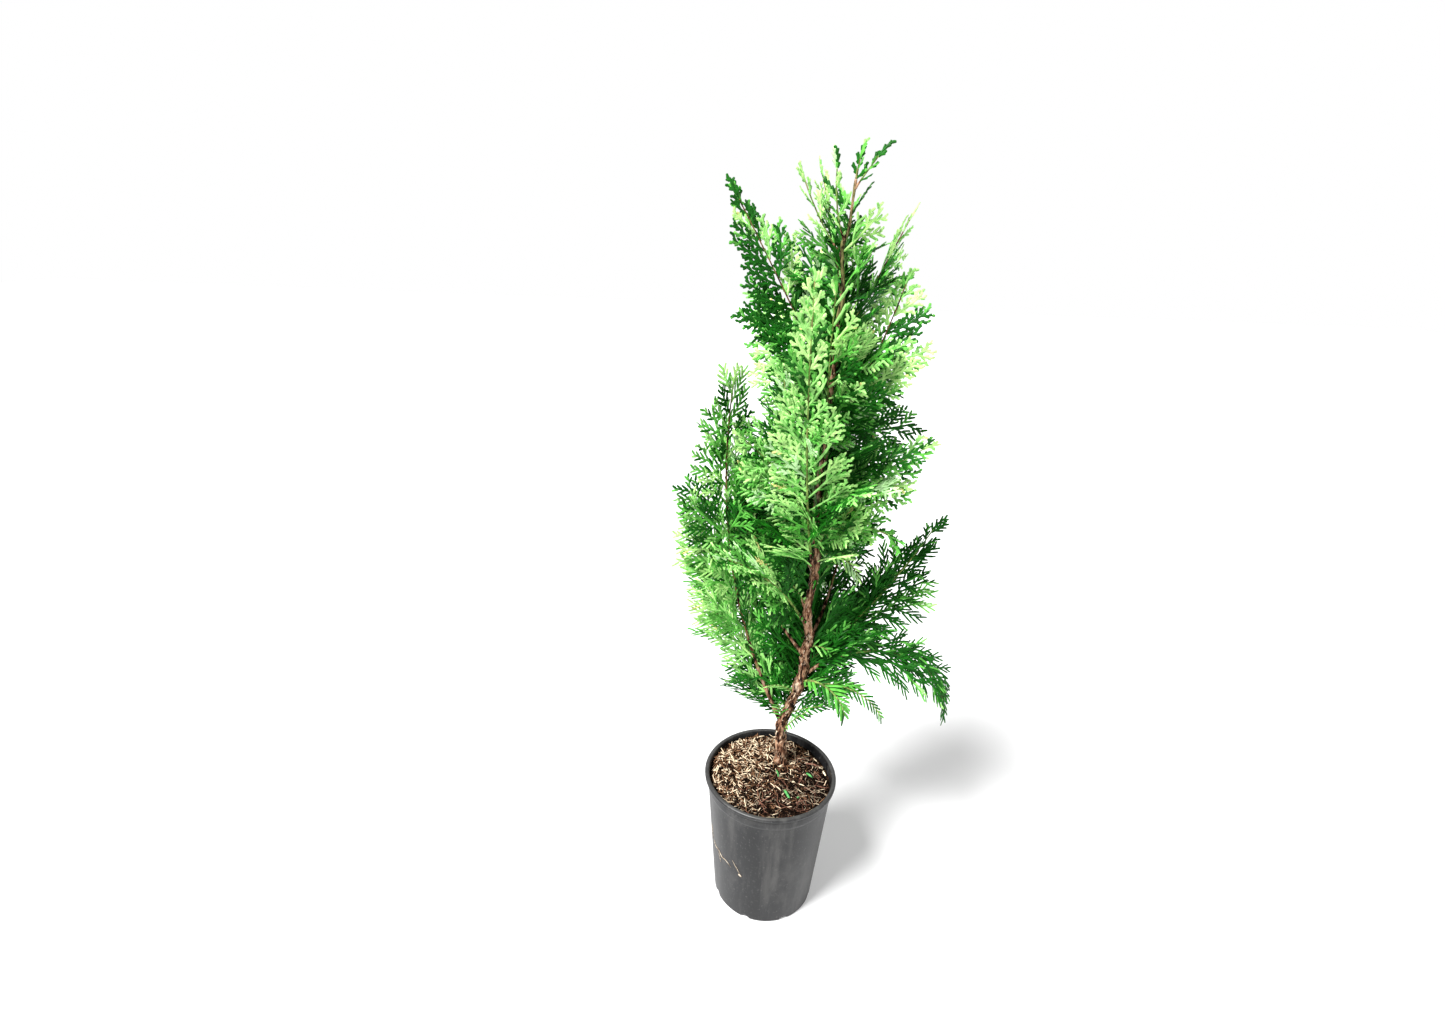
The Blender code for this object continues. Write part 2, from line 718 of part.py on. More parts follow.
def grow_limbs(home, bark, wide, wood):
    """Makes the boughs, seats them on the trunk and plans the stem and sprays of each mass."""
    stems = {}
    for name, height, azimuth, path, bare, roll in plan_limbs():
        root_radius = max(BOUGH_RADIUS_SHARE * trunk_radius(height), BOUGH_RADIUS_MIN)
        tip_radius = root_radius * BOUGH_TIP_SHARE
        line = [point_on(path, along)[0] for along in steps_between(0.0, bare, BOUGH_POINTS)]
        taper = steps_between(root_radius, tip_radius, BOUGH_POINTS)
        bough = rod("bough_" + name, line, taper, BOUGH_BEVEL_STEPS, home, bark)
        cut = bough.modifiers.new("seat", "BOOLEAN")
        cut.operation = "DIFFERENCE"
        cut.object = wide
        cut.solver = "EXACT"
        baked(bough)
        largest_shell(bough.data)
        wood += samples(line[1:], taper[1:], WOOD_SPACING)
        length = (path[1] - path[0]).length * LIMB_STEPS
        stem = [point_on(path, along)[0] for along in steps_between(bare + GAP / length, 1.0, STEM_POINTS)]
        thin = steps_between(tip_radius, STEM_TIP_RADIUS, STEM_POINTS)
        plan = twig_plan(name, azimuth, path, bare, roll)
        stems[name] = (stem, thin, plan, end_twig(azimuth, path, bare, roll))
    tip = trunk_point(TRUNK_SIDE_MM[-1][0] * MM) + Vector((0.0, 0.0, GAP))
    path = limb_path(tip, LEADER_AZIMUTH, LEADER_LENGTH, *LEADER_RISE)
    stem = [point_on(path, along)[0] for along in steps_between(0.0, 1.0, STEM_POINTS)]
    thin = steps_between(TRUNK_RADIUS_MM[-1][1] * MM, STEM_TIP_RADIUS, STEM_POINTS)
    plan = twig_plan("leader", LEADER_AZIMUTH, path, 0.0, LEADER_ROLL)
    stems["leader"] = (stem, thin, plan, end_twig(LEADER_AZIMUTH, path, 0.0, LEADER_ROLL))
    return stems


def choose_blades(stems, wood):
    """Gives each mass its blades by turns, leaving out those that leave its space or touch."""
    spots = {}
    tubes = {}
    for name, (stem, thin, _, _) in stems.items():
        spots[name] = [spot for spot, _ in samples(stem, thin, SAMPLE_SPACING)]
        tree = BVHTree.FromPolygons(*stem_form(stem, thin, BLADE_CLEARANCE))
        tubes[name] = ((stem[0] + stem[-1]) * 0.5, (stem[-1] - stem[0]).length * STEM_REACH_SHARE, tree)
    placed = []
    blades = {name: [] for name in stems}
    for turn in range(max(len(parts[2]) for parts in stems.values()) + 1):
        for name, (_, _, plan, last) in stems.items():
            others = [spot for other in stems if other != name for spot in spots[other]]
            blocks = placed + [tubes[other] for other in stems if other != name]
            for line, across in choices(plan, last, turn):
                length = sum((b - a).length for a, b in zip(line, line[1:]))
                if not in_own_space(blade_samples(line, across, length), spots[name], others, wood):
                    continue
                form = BVHTree.FromPolygons(*blade_form(line, across, BLADE_CLEARANCE))
                centre = (line[0] + line[-1]) * 0.5
                if clear_of(form, centre, length * BLADE_REACH_SHARE, blocks):
                    blades[name].append((line, across))
                    placed.append((centre, length * BLADE_REACH_SHARE, form))
                    break
    return blades


def build():
    """Builds the pot, the potting mix, the trunk, the boughs and the foliage masses."""
    clear_scene()
    home = collection("potted_arborvitae")
    cutters = collection("cutters")
    rooms = collection("rooms")
    plastic = material("pot_plastic", (0.018, 0.019, 0.021), 0.42)
    mix = material("potting_mix", (0.165, 0.110, 0.065), 0.95)
    bark = material("bark", (0.200, 0.105, 0.060), 0.85)
    greens = {name: material(name, colour, 0.55) for name, colour in GREENS.items()}

    make_pot(home, plastic, cutters)
    make_soil(home, mix)

    points, radii = trunk_line()
    rod("trunk", points, radii, TRUNK_BEVEL_STEPS, home, bark)
    wide = rod("trunk_room", points, [radius + GAP for radius in radii], TRUNK_BEVEL_STEPS, rooms, None)
    wood = samples(points, radii, WOOD_SPACING)
    stems = grow_limbs(home, bark, wide, wood)
    bpy.data.objects.remove(wide, do_unlink=True)
    bpy.data.collections.remove(rooms)

    for name, blades in choose_blades(stems, wood).items():
        node = "foliage_" + name
        mesh = solid(node, *stem_form(stems[name][0], stems[name][1]))
        fused(node, mesh, blades, home, greens[GREEN_OF.get(name, "leaf_mid")])


build()
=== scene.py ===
"""Looks of the potted young arborvitae, grown on from its frame.

The pot, the potting mix, the trunk and boughs, and the sprays are each one operator. The sprays
follow the rule of the part's source and carry it on to finer twigs within the same reach.
"""

import json
import math
import random
from collections import namedtuple

import bpy
import numpy as np
from bpy.props import FloatProperty, FloatVectorProperty, IntProperty, PointerProperty
from mathutils import Matrix, Vector, noise


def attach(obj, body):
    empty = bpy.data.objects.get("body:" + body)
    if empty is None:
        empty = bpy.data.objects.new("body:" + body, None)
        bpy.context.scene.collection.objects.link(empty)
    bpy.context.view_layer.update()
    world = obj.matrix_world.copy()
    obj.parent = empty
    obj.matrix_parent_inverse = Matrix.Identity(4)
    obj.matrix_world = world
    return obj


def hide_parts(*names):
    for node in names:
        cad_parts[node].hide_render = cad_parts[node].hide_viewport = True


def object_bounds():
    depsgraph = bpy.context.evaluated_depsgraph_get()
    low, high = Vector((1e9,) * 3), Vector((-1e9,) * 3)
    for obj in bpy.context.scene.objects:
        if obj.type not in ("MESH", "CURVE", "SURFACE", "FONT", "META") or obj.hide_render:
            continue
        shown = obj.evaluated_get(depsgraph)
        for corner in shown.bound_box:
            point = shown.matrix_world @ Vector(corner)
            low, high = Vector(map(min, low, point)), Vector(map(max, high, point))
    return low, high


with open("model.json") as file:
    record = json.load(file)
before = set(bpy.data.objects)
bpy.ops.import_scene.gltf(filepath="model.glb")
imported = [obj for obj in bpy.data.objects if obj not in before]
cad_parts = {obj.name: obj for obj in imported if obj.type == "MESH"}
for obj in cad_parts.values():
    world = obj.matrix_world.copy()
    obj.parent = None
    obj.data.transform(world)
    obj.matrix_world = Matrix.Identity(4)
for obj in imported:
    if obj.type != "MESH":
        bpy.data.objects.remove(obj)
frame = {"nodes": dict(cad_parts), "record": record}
CAD_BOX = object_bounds()

bl_info = {
    "name": "Potted arborvitae",
    "version": (1, 0, 0),
    "blender": (4, 5, 0),
    "location": "View3D > Sidebar > Arborvitae",
    "description": "Builds a young arborvitae in its nursery pot, with bark, leafy sprays and potting mix",
    "category": "Add Mesh",
}

MM = 0.001
GAP = 0.0003
UP = Vector((0.0, 0.0, 1.0))
WHITE = (1.0, 1.0, 1.0)
MASK = ((0.0, 0.0, 0.0), (0.0, 0.0, 0.0), WHITE)

# Trunk, side offsets and radii by height above the potting mix
FOOT_X = 0.0101
FOOT_Y = 0.0177
SOIL_TOP = 0.1215
TRUNK_SIDE_MM = (
    (0, 0.0), (2, 0.0), (8, -0.2), (22, -0.8), (41, -1.3), (62, 4.2), (79, 9.5), (98, 13.6),
    (114, 13.4), (129, 16.2), (143, 13.6), (160, 12.6), (180, 14.8), (202, 16.4), (224, 14.2),
    (250, 12.8), (272, 13.0), (301, 16.0), (333, 15.0), (360, 15.8), (389, 15.4), (403, 17.4),
    (433, 13.6), (446, 16.8), (464, 17.9), (476, 18.6),
)
TRUNK_RADIUS_MM = (
    (0, 6.1), (2, 5.9), (8, 5.1), (41, 4.4), (70, 3.9), (129, 3.4), (179, 3.0), (273, 2.2),
    (389, 1.5), (476, 0.8),
)
TRUNK_TOP = TRUNK_SIDE_MM[-1][0] * MM
TRUNK_SWAY = 0.0030
TRUNK_SWAY_LENGTH = 0.420

# Thickening of the trunk at its foot and at each bough, and of a bough at the trunk: share of the
# radius and distance over which it fades
FLARE = (0.16, 0.0035)
KNOT = (0.20, 0.0034)
KNOT_MOST = 0.30
COLLAR = (0.27, 0.0022)

# Limbs: name, height on the trunk (mm), azimuth, length (mm), rise at the root and at the tip,
# bare share, roll of the spray
SEEN_LIMBS = (
    ("left_stem", 42, 178, 306, 63, 96, 0.20, -58),
    ("right_low_fan", 90, 5, 165, 53, -77, 0.26, 52),
    ("front_low_spray", 84, 322, 60, 56, -80, 0.14, 24),
    ("left_branch", 112, 156, 143, 38, 92, 0.22, -62),
    ("right_branch", 126, 62, 176, 34, 116, 0.30, 62),
    ("right_rising_fan", 104, 24, 160, 36, 50, 0.22, 44),
    ("left_front_fan", 136, 216, 128, 62, 27, 0.18, -34),
    ("centre_shoot", 186, 252, 248, 60, 82, 0.12, 12),
    ("front_right_fan", 214, 328, 68, 62, -20, 0.16, 36),
    ("right_mid_fan", 224, 354, 106, 60, 30, 0.16, 54),
    ("left_mid_fan", 226, 194, 100, 62, 39, 0.16, -56),
    ("left_high_fan", 336, 183, 145, 62, 58, 0.14, -64),
    ("right_high_fan", 300, 2, 121, 62, 75, 0.16, 64),
    ("front_left_mid", 246, 238, 132, 55, 60, 0.14, -22),
    ("front_high_fan", 300, 258, 117, 62, 76, 0.14, -14),
    ("top_right_twig", 470, 353, 24, 58, 54, 0.24, 58),
    ("top_left_twig", 428, 182, 55, 50, 66, 0.20, -60),
    ("top_centre_twig", 438, 236, 48, 46, 86, 0.20, -14),
)
FAR_NAMES = (
    "far_low_right", "far_low_left", "far_low_middle", "far_mid_left", "far_mid", "far_mid_right",
    "far_upper_left", "far_upper", "far_high_right", "far_high_left",
)
FAR_LOW = 0.066
FAR_HIGH = 0.415
FAR_FIRST_AZIMUTH = 18.0
FAR_AZIMUTH_SPREAD = 144.0
FAR_TURN = 0.618
FAR_TURN_START = 0.10
FAR_RISE_ROOT = (46.0, 66.0)
FAR_RISE_TIP = (20.0, 66.0)
FAR_BARE_SHARE = 0.16
FAR_ROLL = 52.0
REACH_MM = ((0, 104), (90, 130), (180, 140), (280, 128), (380, 100), (440, 70))
CLEAR_LIMBS = 0.014
CLEAR_FROM_STEP = 3
AZIMUTH_TRIES = 12
AZIMUTH_STEP = 4.0
LIMB_STEPS = 14
LIMB_SWING = 14.0
BOUGH_RADIUS_SHARE = 0.46
BOUGH_RADIUS_MIN = 0.00085
BOUGH_TIP_SHARE = 0.66
STEM_TIP_RADIUS = 0.00045
LEADER_LENGTH = 0.012
LEADER_AZIMUTH = 30.0
LEADER_ROLL = 20.0
LEADER_RISE = (84.0, 78.0)
LEADER_RADIUS = 0.0008

# Side sprays of a mass
TWIG_LENGTH_SHARE = 0.60
TWIG_LENGTH_MIN = 0.016
TWIG_LENGTH_MAX = 0.080
SWELL_START = 0.62
WIDEST_SHARE = 0.22
TIP_LOSS = 0.72
TWIG_ANGLE_ROOT = 58.0
TWIG_ANGLE_TIP = 32.0
TWIG_BEND = 22.0
TWIG_SAG = 12.0
TWIG_LIFT = 26.0
TWIG_TILT = 24.0
TWIG_JITTER = 6.0
TWIG_VARIES = (0.66, 1.06)

# Foliage of the limbs: the share of a limb where its side sprays start, sprays that fill in between
# them as a share of their number, how far along, how large and how turned, and the size of all
LEAFY_FROM = {"left_stem": 0.085, "left_branch": 0.16, "right_low_fan": 0.22}
FULLNESS = {
    "left_stem": 0.30, "left_branch": 0.34, "right_low_fan": 0.30, "right_branch": 0.50,
    "right_rising_fan": 0.50, "far_low_right": 1.00, "far_low_left": 0.60, "far_low_middle": 0.60,
    "left_front_fan": 0.40,
}
PLAIN_FULLNESS = 0.22
FILLING_TO = 0.86
FILLING_SIZE = 0.74
FILLING_ROLL = (-80.0, 80.0)
SPRAY_SIZE = {
    "right_low_fan": 0.62, "right_rising_fan": 0.70, "right_branch": 0.82, "left_front_fan": 0.92,
    "centre_shoot": 0.64, "front_right_fan": 1.00, "right_mid_fan": 0.90, "left_mid_fan": 0.96,
    "left_high_fan": 0.86, "right_high_fan": 0.90, "front_left_mid": 0.80, "front_high_fan": 0.84,
    "leader": 0.60, "top_right_twig": 0.60,
}
FAN_LIMBS = (
    "left_front_fan", "centre_shoot", "front_right_fan", "right_mid_fan", "left_mid_fan", "left_high_fan",
    "right_high_fan", "front_left_mid", "front_high_fan",
)
FAN_SPACING = 0.90
LOW_SPACING = 1.2
LOW_SIZE = (0.72, 0.95)
CALM_LIMBS = FAN_LIMBS + ("left_stem", "left_branch", "right_low_fan", "right_rising_fan")
CALM = 0.45
# Limbs at the low right that take the 'shaded' tone shares, as painted shade
SHADED_LIMBS = ("right_low_fan", "right_branch", "right_rising_fan", "far_low_right")
PINNATE = ("front_low_spray",)
PINNATE_FINGER = 0.0150
GREEN_STEMS = (
    "left_branch", "centre_shoot", "front_low_spray", "left_front_fan", "front_right_fan", "right_mid_fan",
    "left_mid_fan", "front_left_mid", "front_high_fan", "top_centre_twig", "top_left_twig",
    "top_right_twig", "leader", "right_low_fan", "right_rising_fan",
)

# Heights above the mix: slender fingers below the first, blunt ones above the second, and where
# sprays, fans and fingers start to draw in towards the tip and over what height they do
SLIM_BELOW = 0.100
BLUNT_ABOVE = 0.230
HIGH_SPRAYS = (0.380, 0.090)
HIGH_FANS = (0.360, 0.070)
HIGH_FINGERS = (0.385, 0.050)
PALER_ABOVE = (0.290, 0.100)

# What slender low sprays and high ones change to, as shares of what is usual
SLIM_ANGLE = 0.52
SLIM_LENGTH = 1.22
HIGH_ANGLE = 0.72
HIGH_INNER_LENGTH = 0.7

# Places across the plant: sprays past these are dealt darker tones, over the width that follows; the darker
# right side is painted shade
LOW_HEIGHT = 0.170
SHADE_RIGHT_LOW = 0.032
SHADE_RIGHT_HIGH = 0.056
SHADE_RIGHT_WIDTH = 0.040
DARK_LEFT = -0.030
DARK_LEFT_WIDTH = -0.030

# Short sprays on the trunk: heights, turn from one to the next, rise, roll, length as a share of the
# crown's reach, slenderness, and the azimuths at the front that are left free but for some heights
INNER_LOW = 0.050
INNER_HIGH = 0.462
INNER_TURN = 137.5
INNER_RISE = (28.0, 62.0)
INNER_ROLL = (-70.0, 70.0)
INNER_REACH = (0.38, 0.64)
INNER_SLIM = 0.35
INNER_FRONT_FROM = 0.170
INNER_FRONT_TO = 0.370
INNER_FRONT = (196.0, 344.0)
# Shares of the 'shaded', deep and mid tone sets of the short sprays, dark as painted shade inside the crown
INNER_SHARES = (0.25, 0.40, 0.35)

# Extra inner sprays behind the right bough: height (mm), azimuth, length (mm), rise; they take the deepest
# tone as painted shade
EXTRA_INNER = (
    (104, 52, 66, 56), (114, 34, 60, 58), (124, 70, 62, 54), (134, 46, 58, 56), (144, 28, 54, 58),
    (154, 62, 56, 54), (164, 40, 50, 50), (88, 20, 70, 40), (96, 8, 62, 50), (100, 36, 74, 44),
    (152, 30, 46, 50), (160, 24, 42, 44), (166, 40, 46, 46), (158, 52, 48, 52), (112, 66, 100, 54),
    (126, 68, 92, 56), (138, 72, 86, 56), (120, 76, 92, 60), (104, 60, 108, 58), (148, 64, 80, 60),
)

# Tones that sprays are dealt, with the shares of each tone by the material of the mass, and a 'shaded' set
# whose dark tones are painted shade
TONES = ("deep", "mid", "fresh", "bright", "pale", "gold")
TONE_SLOTS = ("leaf_deep", "leaf_mid", "leaf_mid", "leaf_bright", "leaf_grey", "leaf_bright")
TONE_SHARES = {
    "leaf_mid": (0.10, 0.30, 0.35, 0.13, 0.12, 0.0),
    "leaf_bright": (0.03, 0.17, 0.42, 0.35, 0.03, 0.0),
    "leaf_deep": (0.60, 0.30, 0.07, 0.0, 0.03, 0.0),
    "leaf_grey": (0.10, 0.36, 0.22, 0.06, 0.26, 0.0),
    "shaded": (0.84, 0.13, 0.03, 0.0, 0.0, 0.0),
}

# Chances of a paler or a darker spray: past a share of its mass, and from the first to the second
# over the heights and widths above; then of a paler or darker twig by its parent's tone. Darker sprays
# near the root and darker twigs near their parent's foot are painted shade; paler tips are young growth
# and partly painted highlight
PALER_NEAR_TIP = (0.66, 0.40)
DARKER_NEAR_ROOT = (0.15, 0.45)
PALER_HIGH = (0.0, 0.5)
SHADE_RIGHT_CHANCE = (0.30, 1.0)
DARKER_LEFT = (0.35, 0.90)
LIGHTER = np.array((1, 2, 3, 5, 4, 5))
DARKER = np.array((0, 0, 1, 2, 1, 3))
LIGHTER_CHANCE = np.array((0.26, 0.46, 0.50, 0.04, 0.0, 0.0))
DARKER_CHANCE = np.array((0.0, 0.46, 0.54, 0.56, 0.50, 0.0))

# Least distance of a spray's tip from the frame's box, and triangles that a piece may have
EDGE = 0.001
PIECE_FACES = 190000
FACE_LIMIT = 200000

# Side twigs by batch: seed, span of the parent, lengths along it (at its foot, place of the
# longest, at its tip), then in pairs for blunt and for slender foliage: spacing, share of the
# parent's length, greatest length, angle at the foot and at the tip, half width, least length, hang
SIDE_TWIGS = {
    "branchlets": (
        11, (0.06, 0.95), (0.66, 0.24, 0.34), (1.0, 1.45), (0.52, 0.60), (0.030, 0.038),
        (48.0, 33.0), (34.0, 23.0), (0.80, 0.80), (0.006, 0.006), (0.22, 0.22),
    ),
    "small": (
        12, (0.12, 0.97), (0.78, 0.35, 0.55), (1.0, 1.26), (0.54, 0.68), (0.0105, 0.0150),
        (41.0, 27.0), (32.0, 18.0), (1.0, 0.74), (0.0030, 0.0050), (0.16, 0.36),
    ),
    "fingers": (
        13, (0.06, 0.97), (0.74, 0.28, 0.50), (1.02, 1.20), (0.44, 0.60), (0.0120, 0.0160),
        (42.0, 27.0), (32.0, 18.0), (1.06, 0.74), (0.0030, 0.0050), (0.16, 0.36),
    ),
    "long_fingers": (
        14, (0.05, 0.96), (0.74, 0.26, 0.40), (1.0, 1.0), (0.40, 0.40), (0.0200, 0.0125),
        (47.0, 34.0), (34.0, 26.0), (0.92, 0.92), (0.0036, 0.0036), (0.14, 0.14),
    ),
    "lobes": (
        15, (0.10, 0.97), (0.86, 0.30, 0.62), (0.90, 0.90), (0.34, 0.34), (0.0062, 0.0062),
        (38.0, 38.0), (30.0, 30.0), (0.98, 0.98), (0.0020, 0.0020), (0.06, 0.06),
    ),
}

# What these eight values are multiplied by near the tip of the crown
HIGH_SHARES = (0.86, 0.66, 0.50, 0.76, 1.0, 1.0, 0.60, 1.0)

# Ribbons by batch: spacing of the rings, flatness, tooth, least and most rings, first and last ring
RIBBONS = {
    "sprays": (0.0036, 0.46, 0.80, 4, 20, 0.03, 0.95),
    "branchlets": (0.0034, 0.46, 0.80, 3, 9, 0.05, 0.93),
    "fingers": (0.0030, 0.42, 0.84, 2, 6, 0.10, 0.90),
    "blades": (0.0022, 0.36, 0.86, 3, 7, 0.06, 0.93),
    "small": (0.0034, 0.42, 0.84, 2, 4, 0.16, 0.88),
}

# Strewn bits: ribbon as above, dark and pale share of the colour, then the finish: scale of the
# flecks, roughness, specular, strength and depth of the bump
HULL = ((0.0018, 0.35, 0.96, 3, 8, 0.10, 0.90), (0.55, 1.35), (300.0, 0.85, 0.06, 0.5, 0.0004))
FALLEN = ((0.0012, 0.50, 0.85, 4, 14, 0.10, 0.90), (0.55, 1.40), (420.0, 0.60, 0.40, 0.5, 0.0004))
FLAKE = ((0.0014, 0.26, 0.78, 2, 4, 0.10, 0.90), (0.60, 1.30), (600.0, 0.85, 0.20, 0.5, 0.0003))

# Small sprigs of plain fingers: name, height on the trunk (mm), azimuth, length (mm), rise at root
# and tip, tone; then length and spacing of a finger, angle at root and tip, and least and most hang
SPRIGS = (
    ("fork_sprig", 33, 316, 46, 64, 46, 0),
    ("fork_sprig_left", 44, 232, 28, 76, 58, 1),
    ("fork_sprig_right", 52, 346, 34, 44, 10, 0),
    ("pendant_sprig", 205, 338, 44, 34, -76, 3),
    ("pendant_sprig_far", 214, 20, 38, 30, -60, 2),
    ("snag_shoot", 158, 203, 40, 58, 50, 2),
    ("curled_shoot", 120, 338, 20, 44, -30, 1),
    ("low_left_sprig", 74, 214, 38, 52, 10, 2),
    ("low_right_sprig", 78, 346, 88, 46, -66, 0),
    ("mid_sprig", 250, 300, 36, 50, 10, 3),
)
SPRIG_FINGER = 0.0105
SPRIG_SPACING = 0.0021
SPRIG_BARE = 0.16
SPRIG_ROLL = 40.0
SPRIG_ANGLE = (50.0, 30.0)
SPRIG_HANG = (0.20, 0.45)

# Pot: floor, rounding of the lip, place and height of the band's step, rounding of the foot, and
# the number, half width, height and depth of the notches there
POT_FLOOR = 0.0018
LIP_ROUND = 0.0011
BAND_DEPTH = 0.0135
BAND_STEP = 0.0006
FOOT_ROUND = 0.0012
NOTCHES = 8
NOTCH = (0.0034, 0.0040, 0.0013)
SHARP_ANGLE = 42.0

# Dried roots that cling to the pot's wall: azimuths, heights (mm), thickness (mm)
WALL_MARKS = (
    ((-160, -155, -149, -143, -137, -130), (64, 60.5, 61.5, 58, 58.5, 55), 0.42),
    ((-128, -125, -122, -119), (65, 61, 57.5, 53), 0.36),
    ((-150, -147, -146), (58, 54, 49), 0.28),
    ((-121, -117), (52.5, 51.0), 0.95),
    ((-166, -164, -163), (78, 70, 63), 0.24),
)
DRY_COLOURS = ((0.10, 0.07, 0.05), (0.34, 0.28, 0.21), (0.62, 0.55, 0.46))

# Surface of the mix: rise over its radius towards the far left, hollow, mound and fall at the wall
MIX_RADIUS = 0.052
MIX_SLOPE = 0.0034
HOLLOW = (0.0165, 0.0020)
HOLLOW_DEPTH = 0.0065
HOLLOW_WIDTH = 0.0042
MOUND_HEIGHT = 0.0012
MOUND_WIDTH = 0.010
EDGE_FALL = 0.0010
EDGE_FROM = 0.86
MIX_RINGS = 64
MIX_STEPS = 168
MIX_FOOT = 0.004

# What strewn bits keep clear of: the trunk's foot and the hollow, by the distance from the middle
FOOT_CLEAR = 0.0052
HOLLOW_CLEAR = 0.0040

# Single bits on the mix: kind, from and to (mm), half width (mm), arch (mm)
LITTER = (
    ("red", 31.5, 17.9, 47.5, 16.4, 0.75, 1.2), ("red", 20.0, -30.0, 33.0, -24.0, 0.45, 1.6),
    ("red", -12.0, -34.0, 2.0, -22.0, 0.45, 1.4), ("red", 28.0, -12.0, 40.0, -20.0, 0.40, 1.4),
    ("tan", -29.7, -11.7, -14.7, 1.2, 0.65, 0.9), ("tan", 16.7, 35.4, 17.5, 9.2, 0.34, 1.8),
    ("tan", -36.0, 26.0, -24.0, 35.0, 0.50, 1.0), ("tan", 2.0, -40.0, 14.0, -33.0, 0.45, 1.2),
    ("green", 32.4, 6.2, 38.7, -0.9, 1.30, 1.2), ("green", 11.4, -15.4, 15.8, -25.6, 1.55, 1.0),
    ("green", 21.6, -25.0, 24.6, -22.4, 0.90, 0.4), ("green", 5.8, 6.1, 8.0, -1.3, 0.95, 1.4),
    ("straw", 19.6, -2.2, 22.4, -6.4, 1.25, 0.4), ("straw", 47.6, 10.2, 50.0, 5.2, 1.05, 0.4),
    ("straw", 24.0, -8.0, 31.0, -10.5, 0.60, 0.8), ("straw", 3.0, -12.0, 9.0, -18.0, 0.60, 0.8),
)

# Bark chips: width, share of it along each side, unevenness of the corners, and the largest ones
# as place and width
CHIP_WIDTH = (0.0010, 0.0027)
CHIP_SIDES = ((0.8, 1.5), (0.5, 1.0), (0.25, 0.55))
CHIP_ROUGH = 0.30
BIG_CHIPS = ((-0.0429, 0.0047, 0.0036), (-0.0385, 0.0085, 0.0022), (0.0420, -0.0120, 0.0028))

# Openings in the foliage through which the wood shows from the front: limb, from and to, half
# width (mm); places are heights on the trunk (mm) or shares of another limb
OPENINGS = (
    ("trunk", 60, 122, 9.0), ("trunk", 150, 206, 5.5), ("trunk", 256, 296, 4.2), ("trunk", 328, 362, 3.6),
    ("trunk", 384, 470, 3.2), ("right_branch", 0.02, 0.16, 5.0), ("right_branch", 0.16, 0.40, 4.4),
    ("left_stem", 0.0, 0.10, 4.0), ("left_branch", 0.02, 0.20, 4.0), ("left_stem", 0.12, 0.22, 2.6),
)
BARED_LIMBS = ("right_branch",)
OPEN_STEPS = 12

# Bare shoots of the trunk: height (mm), azimuth, length (mm), rise at root and tip, radius (mm)
BARE_SHOOTS = (
    (154, 196, 15, 50, 74, 1.25), (161, 188, 8, 10, 150, 0.45), (166, 292, 9, 66, 80, 0.90),
    (196, 262, 12, 72, 84, 1.10), (128, 128, 10, 30, 60, 0.60), (58, 128, 9, 34, 50, 0.60),
    (236, 96, 10, 40, 70, 0.60), (282, 210, 9, 40, 66, 0.55),
)

# Flakes lifted off the bark: numbers, and length and half width from the least to the greatest
FLAKES_OF_TRUNK = 1500
FLAKES_PER_METRE = 900
FLAKE_LENGTH = (0.0014, 0.0046)
FLAKE_HALF = (0.00028, 0.00070)

# Colours of the stems of the sprays: young ones after two browns, and green ones
STEM_YOUNG = ((0.200, 0.150, 0.060), (0.260, 0.300, 0.090))
STEM_GREENS = ((0.090, 0.120, 0.030), (0.160, 0.260, 0.060), (0.300, 0.420, 0.110), (0.340, 0.280, 0.120))

# Camera and lights
EYE = (-0.0500, -0.4895, 0.5602)
PITCH = 21.67
ROLL = 2.14
LENS = 17.52
SENSOR = 36.0
CLIP_START = 0.01
FLOOR_HALF = 6.0
TARGET = (0.01, 0.01, 0.30)
KEY_PLACE = (-0.95, -0.68, 1.85)
KEY_ANGLE = 22.0
FILL_PLACE = (1.3, -0.7, 0.9)
FILL_SIZE = 1.6


def slot_of(node):
    """Material slot that the record gives a node."""
    for row in frame["record"]["subparts"]:
        if row["node"] == node:
            return row["material_slot"]
    raise RuntimeError("the record has no node " + node)


def nodes_named(prefix):
    """Names of the frame's nodes with a prefix."""
    return sorted(name for name in frame["nodes"] if name.startswith(prefix))


def blend(first, last, share):
    """Value at a share of the way between two others."""
    return first + (last - first) * share


def ramp(value, start, width):
    """Share from 0 at the start to 1 a width further on."""
    return np.clip((value - start) / width, 0.0, 1.0)


def table_value(table, at):
    """Reads a value between the rows of a table of pairs."""
    if at <= table[0][0]:
        return table[0][1]
    for (low, first), (high, second) in zip(table, table[1:]):
        if at <= high:
            return blend(first, second, (at - low) / (high - low))
    return table[-1][1]


def around(radius, turn):
    """Place at a radius and a turn about the pot's axis."""
    return radius * math.cos(turn), radius * math.sin(turn)


def level(azimuth):
    """Level direction at an azimuth."""
    return Vector((*around(1.0, math.radians(azimuth)), 0.0))


def rising(azimuth, rise):
    """Direction at an azimuth and a rise."""
    slope = math.radians(rise)
    return level(azimuth) * math.cos(slope) + UP * math.sin(slope)


def trunk_point(height):
    """Centre of the trunk at a height above the potting mix."""
    side = table_value(TRUNK_SIDE_MM, height / MM) * MM
    away = TRUNK_SWAY * (1.0 - math.cos(math.tau * height / TRUNK_SWAY_LENGTH)) * 0.5
    return Vector((FOOT_X + side, FOOT_Y + away, SOIL_TOP + GAP + height))


def trunk_radius(height):
    """Radius of the trunk at a height above the potting mix."""
    return table_value(TRUNK_RADIUS_MM, height / MM) * MM


def bough_radius(height):
    """Radius of a bough at its root, by the height of the root on the trunk."""
    return max(BOUGH_RADIUS_SHARE * trunk_radius(height), BOUGH_RADIUS_MIN)


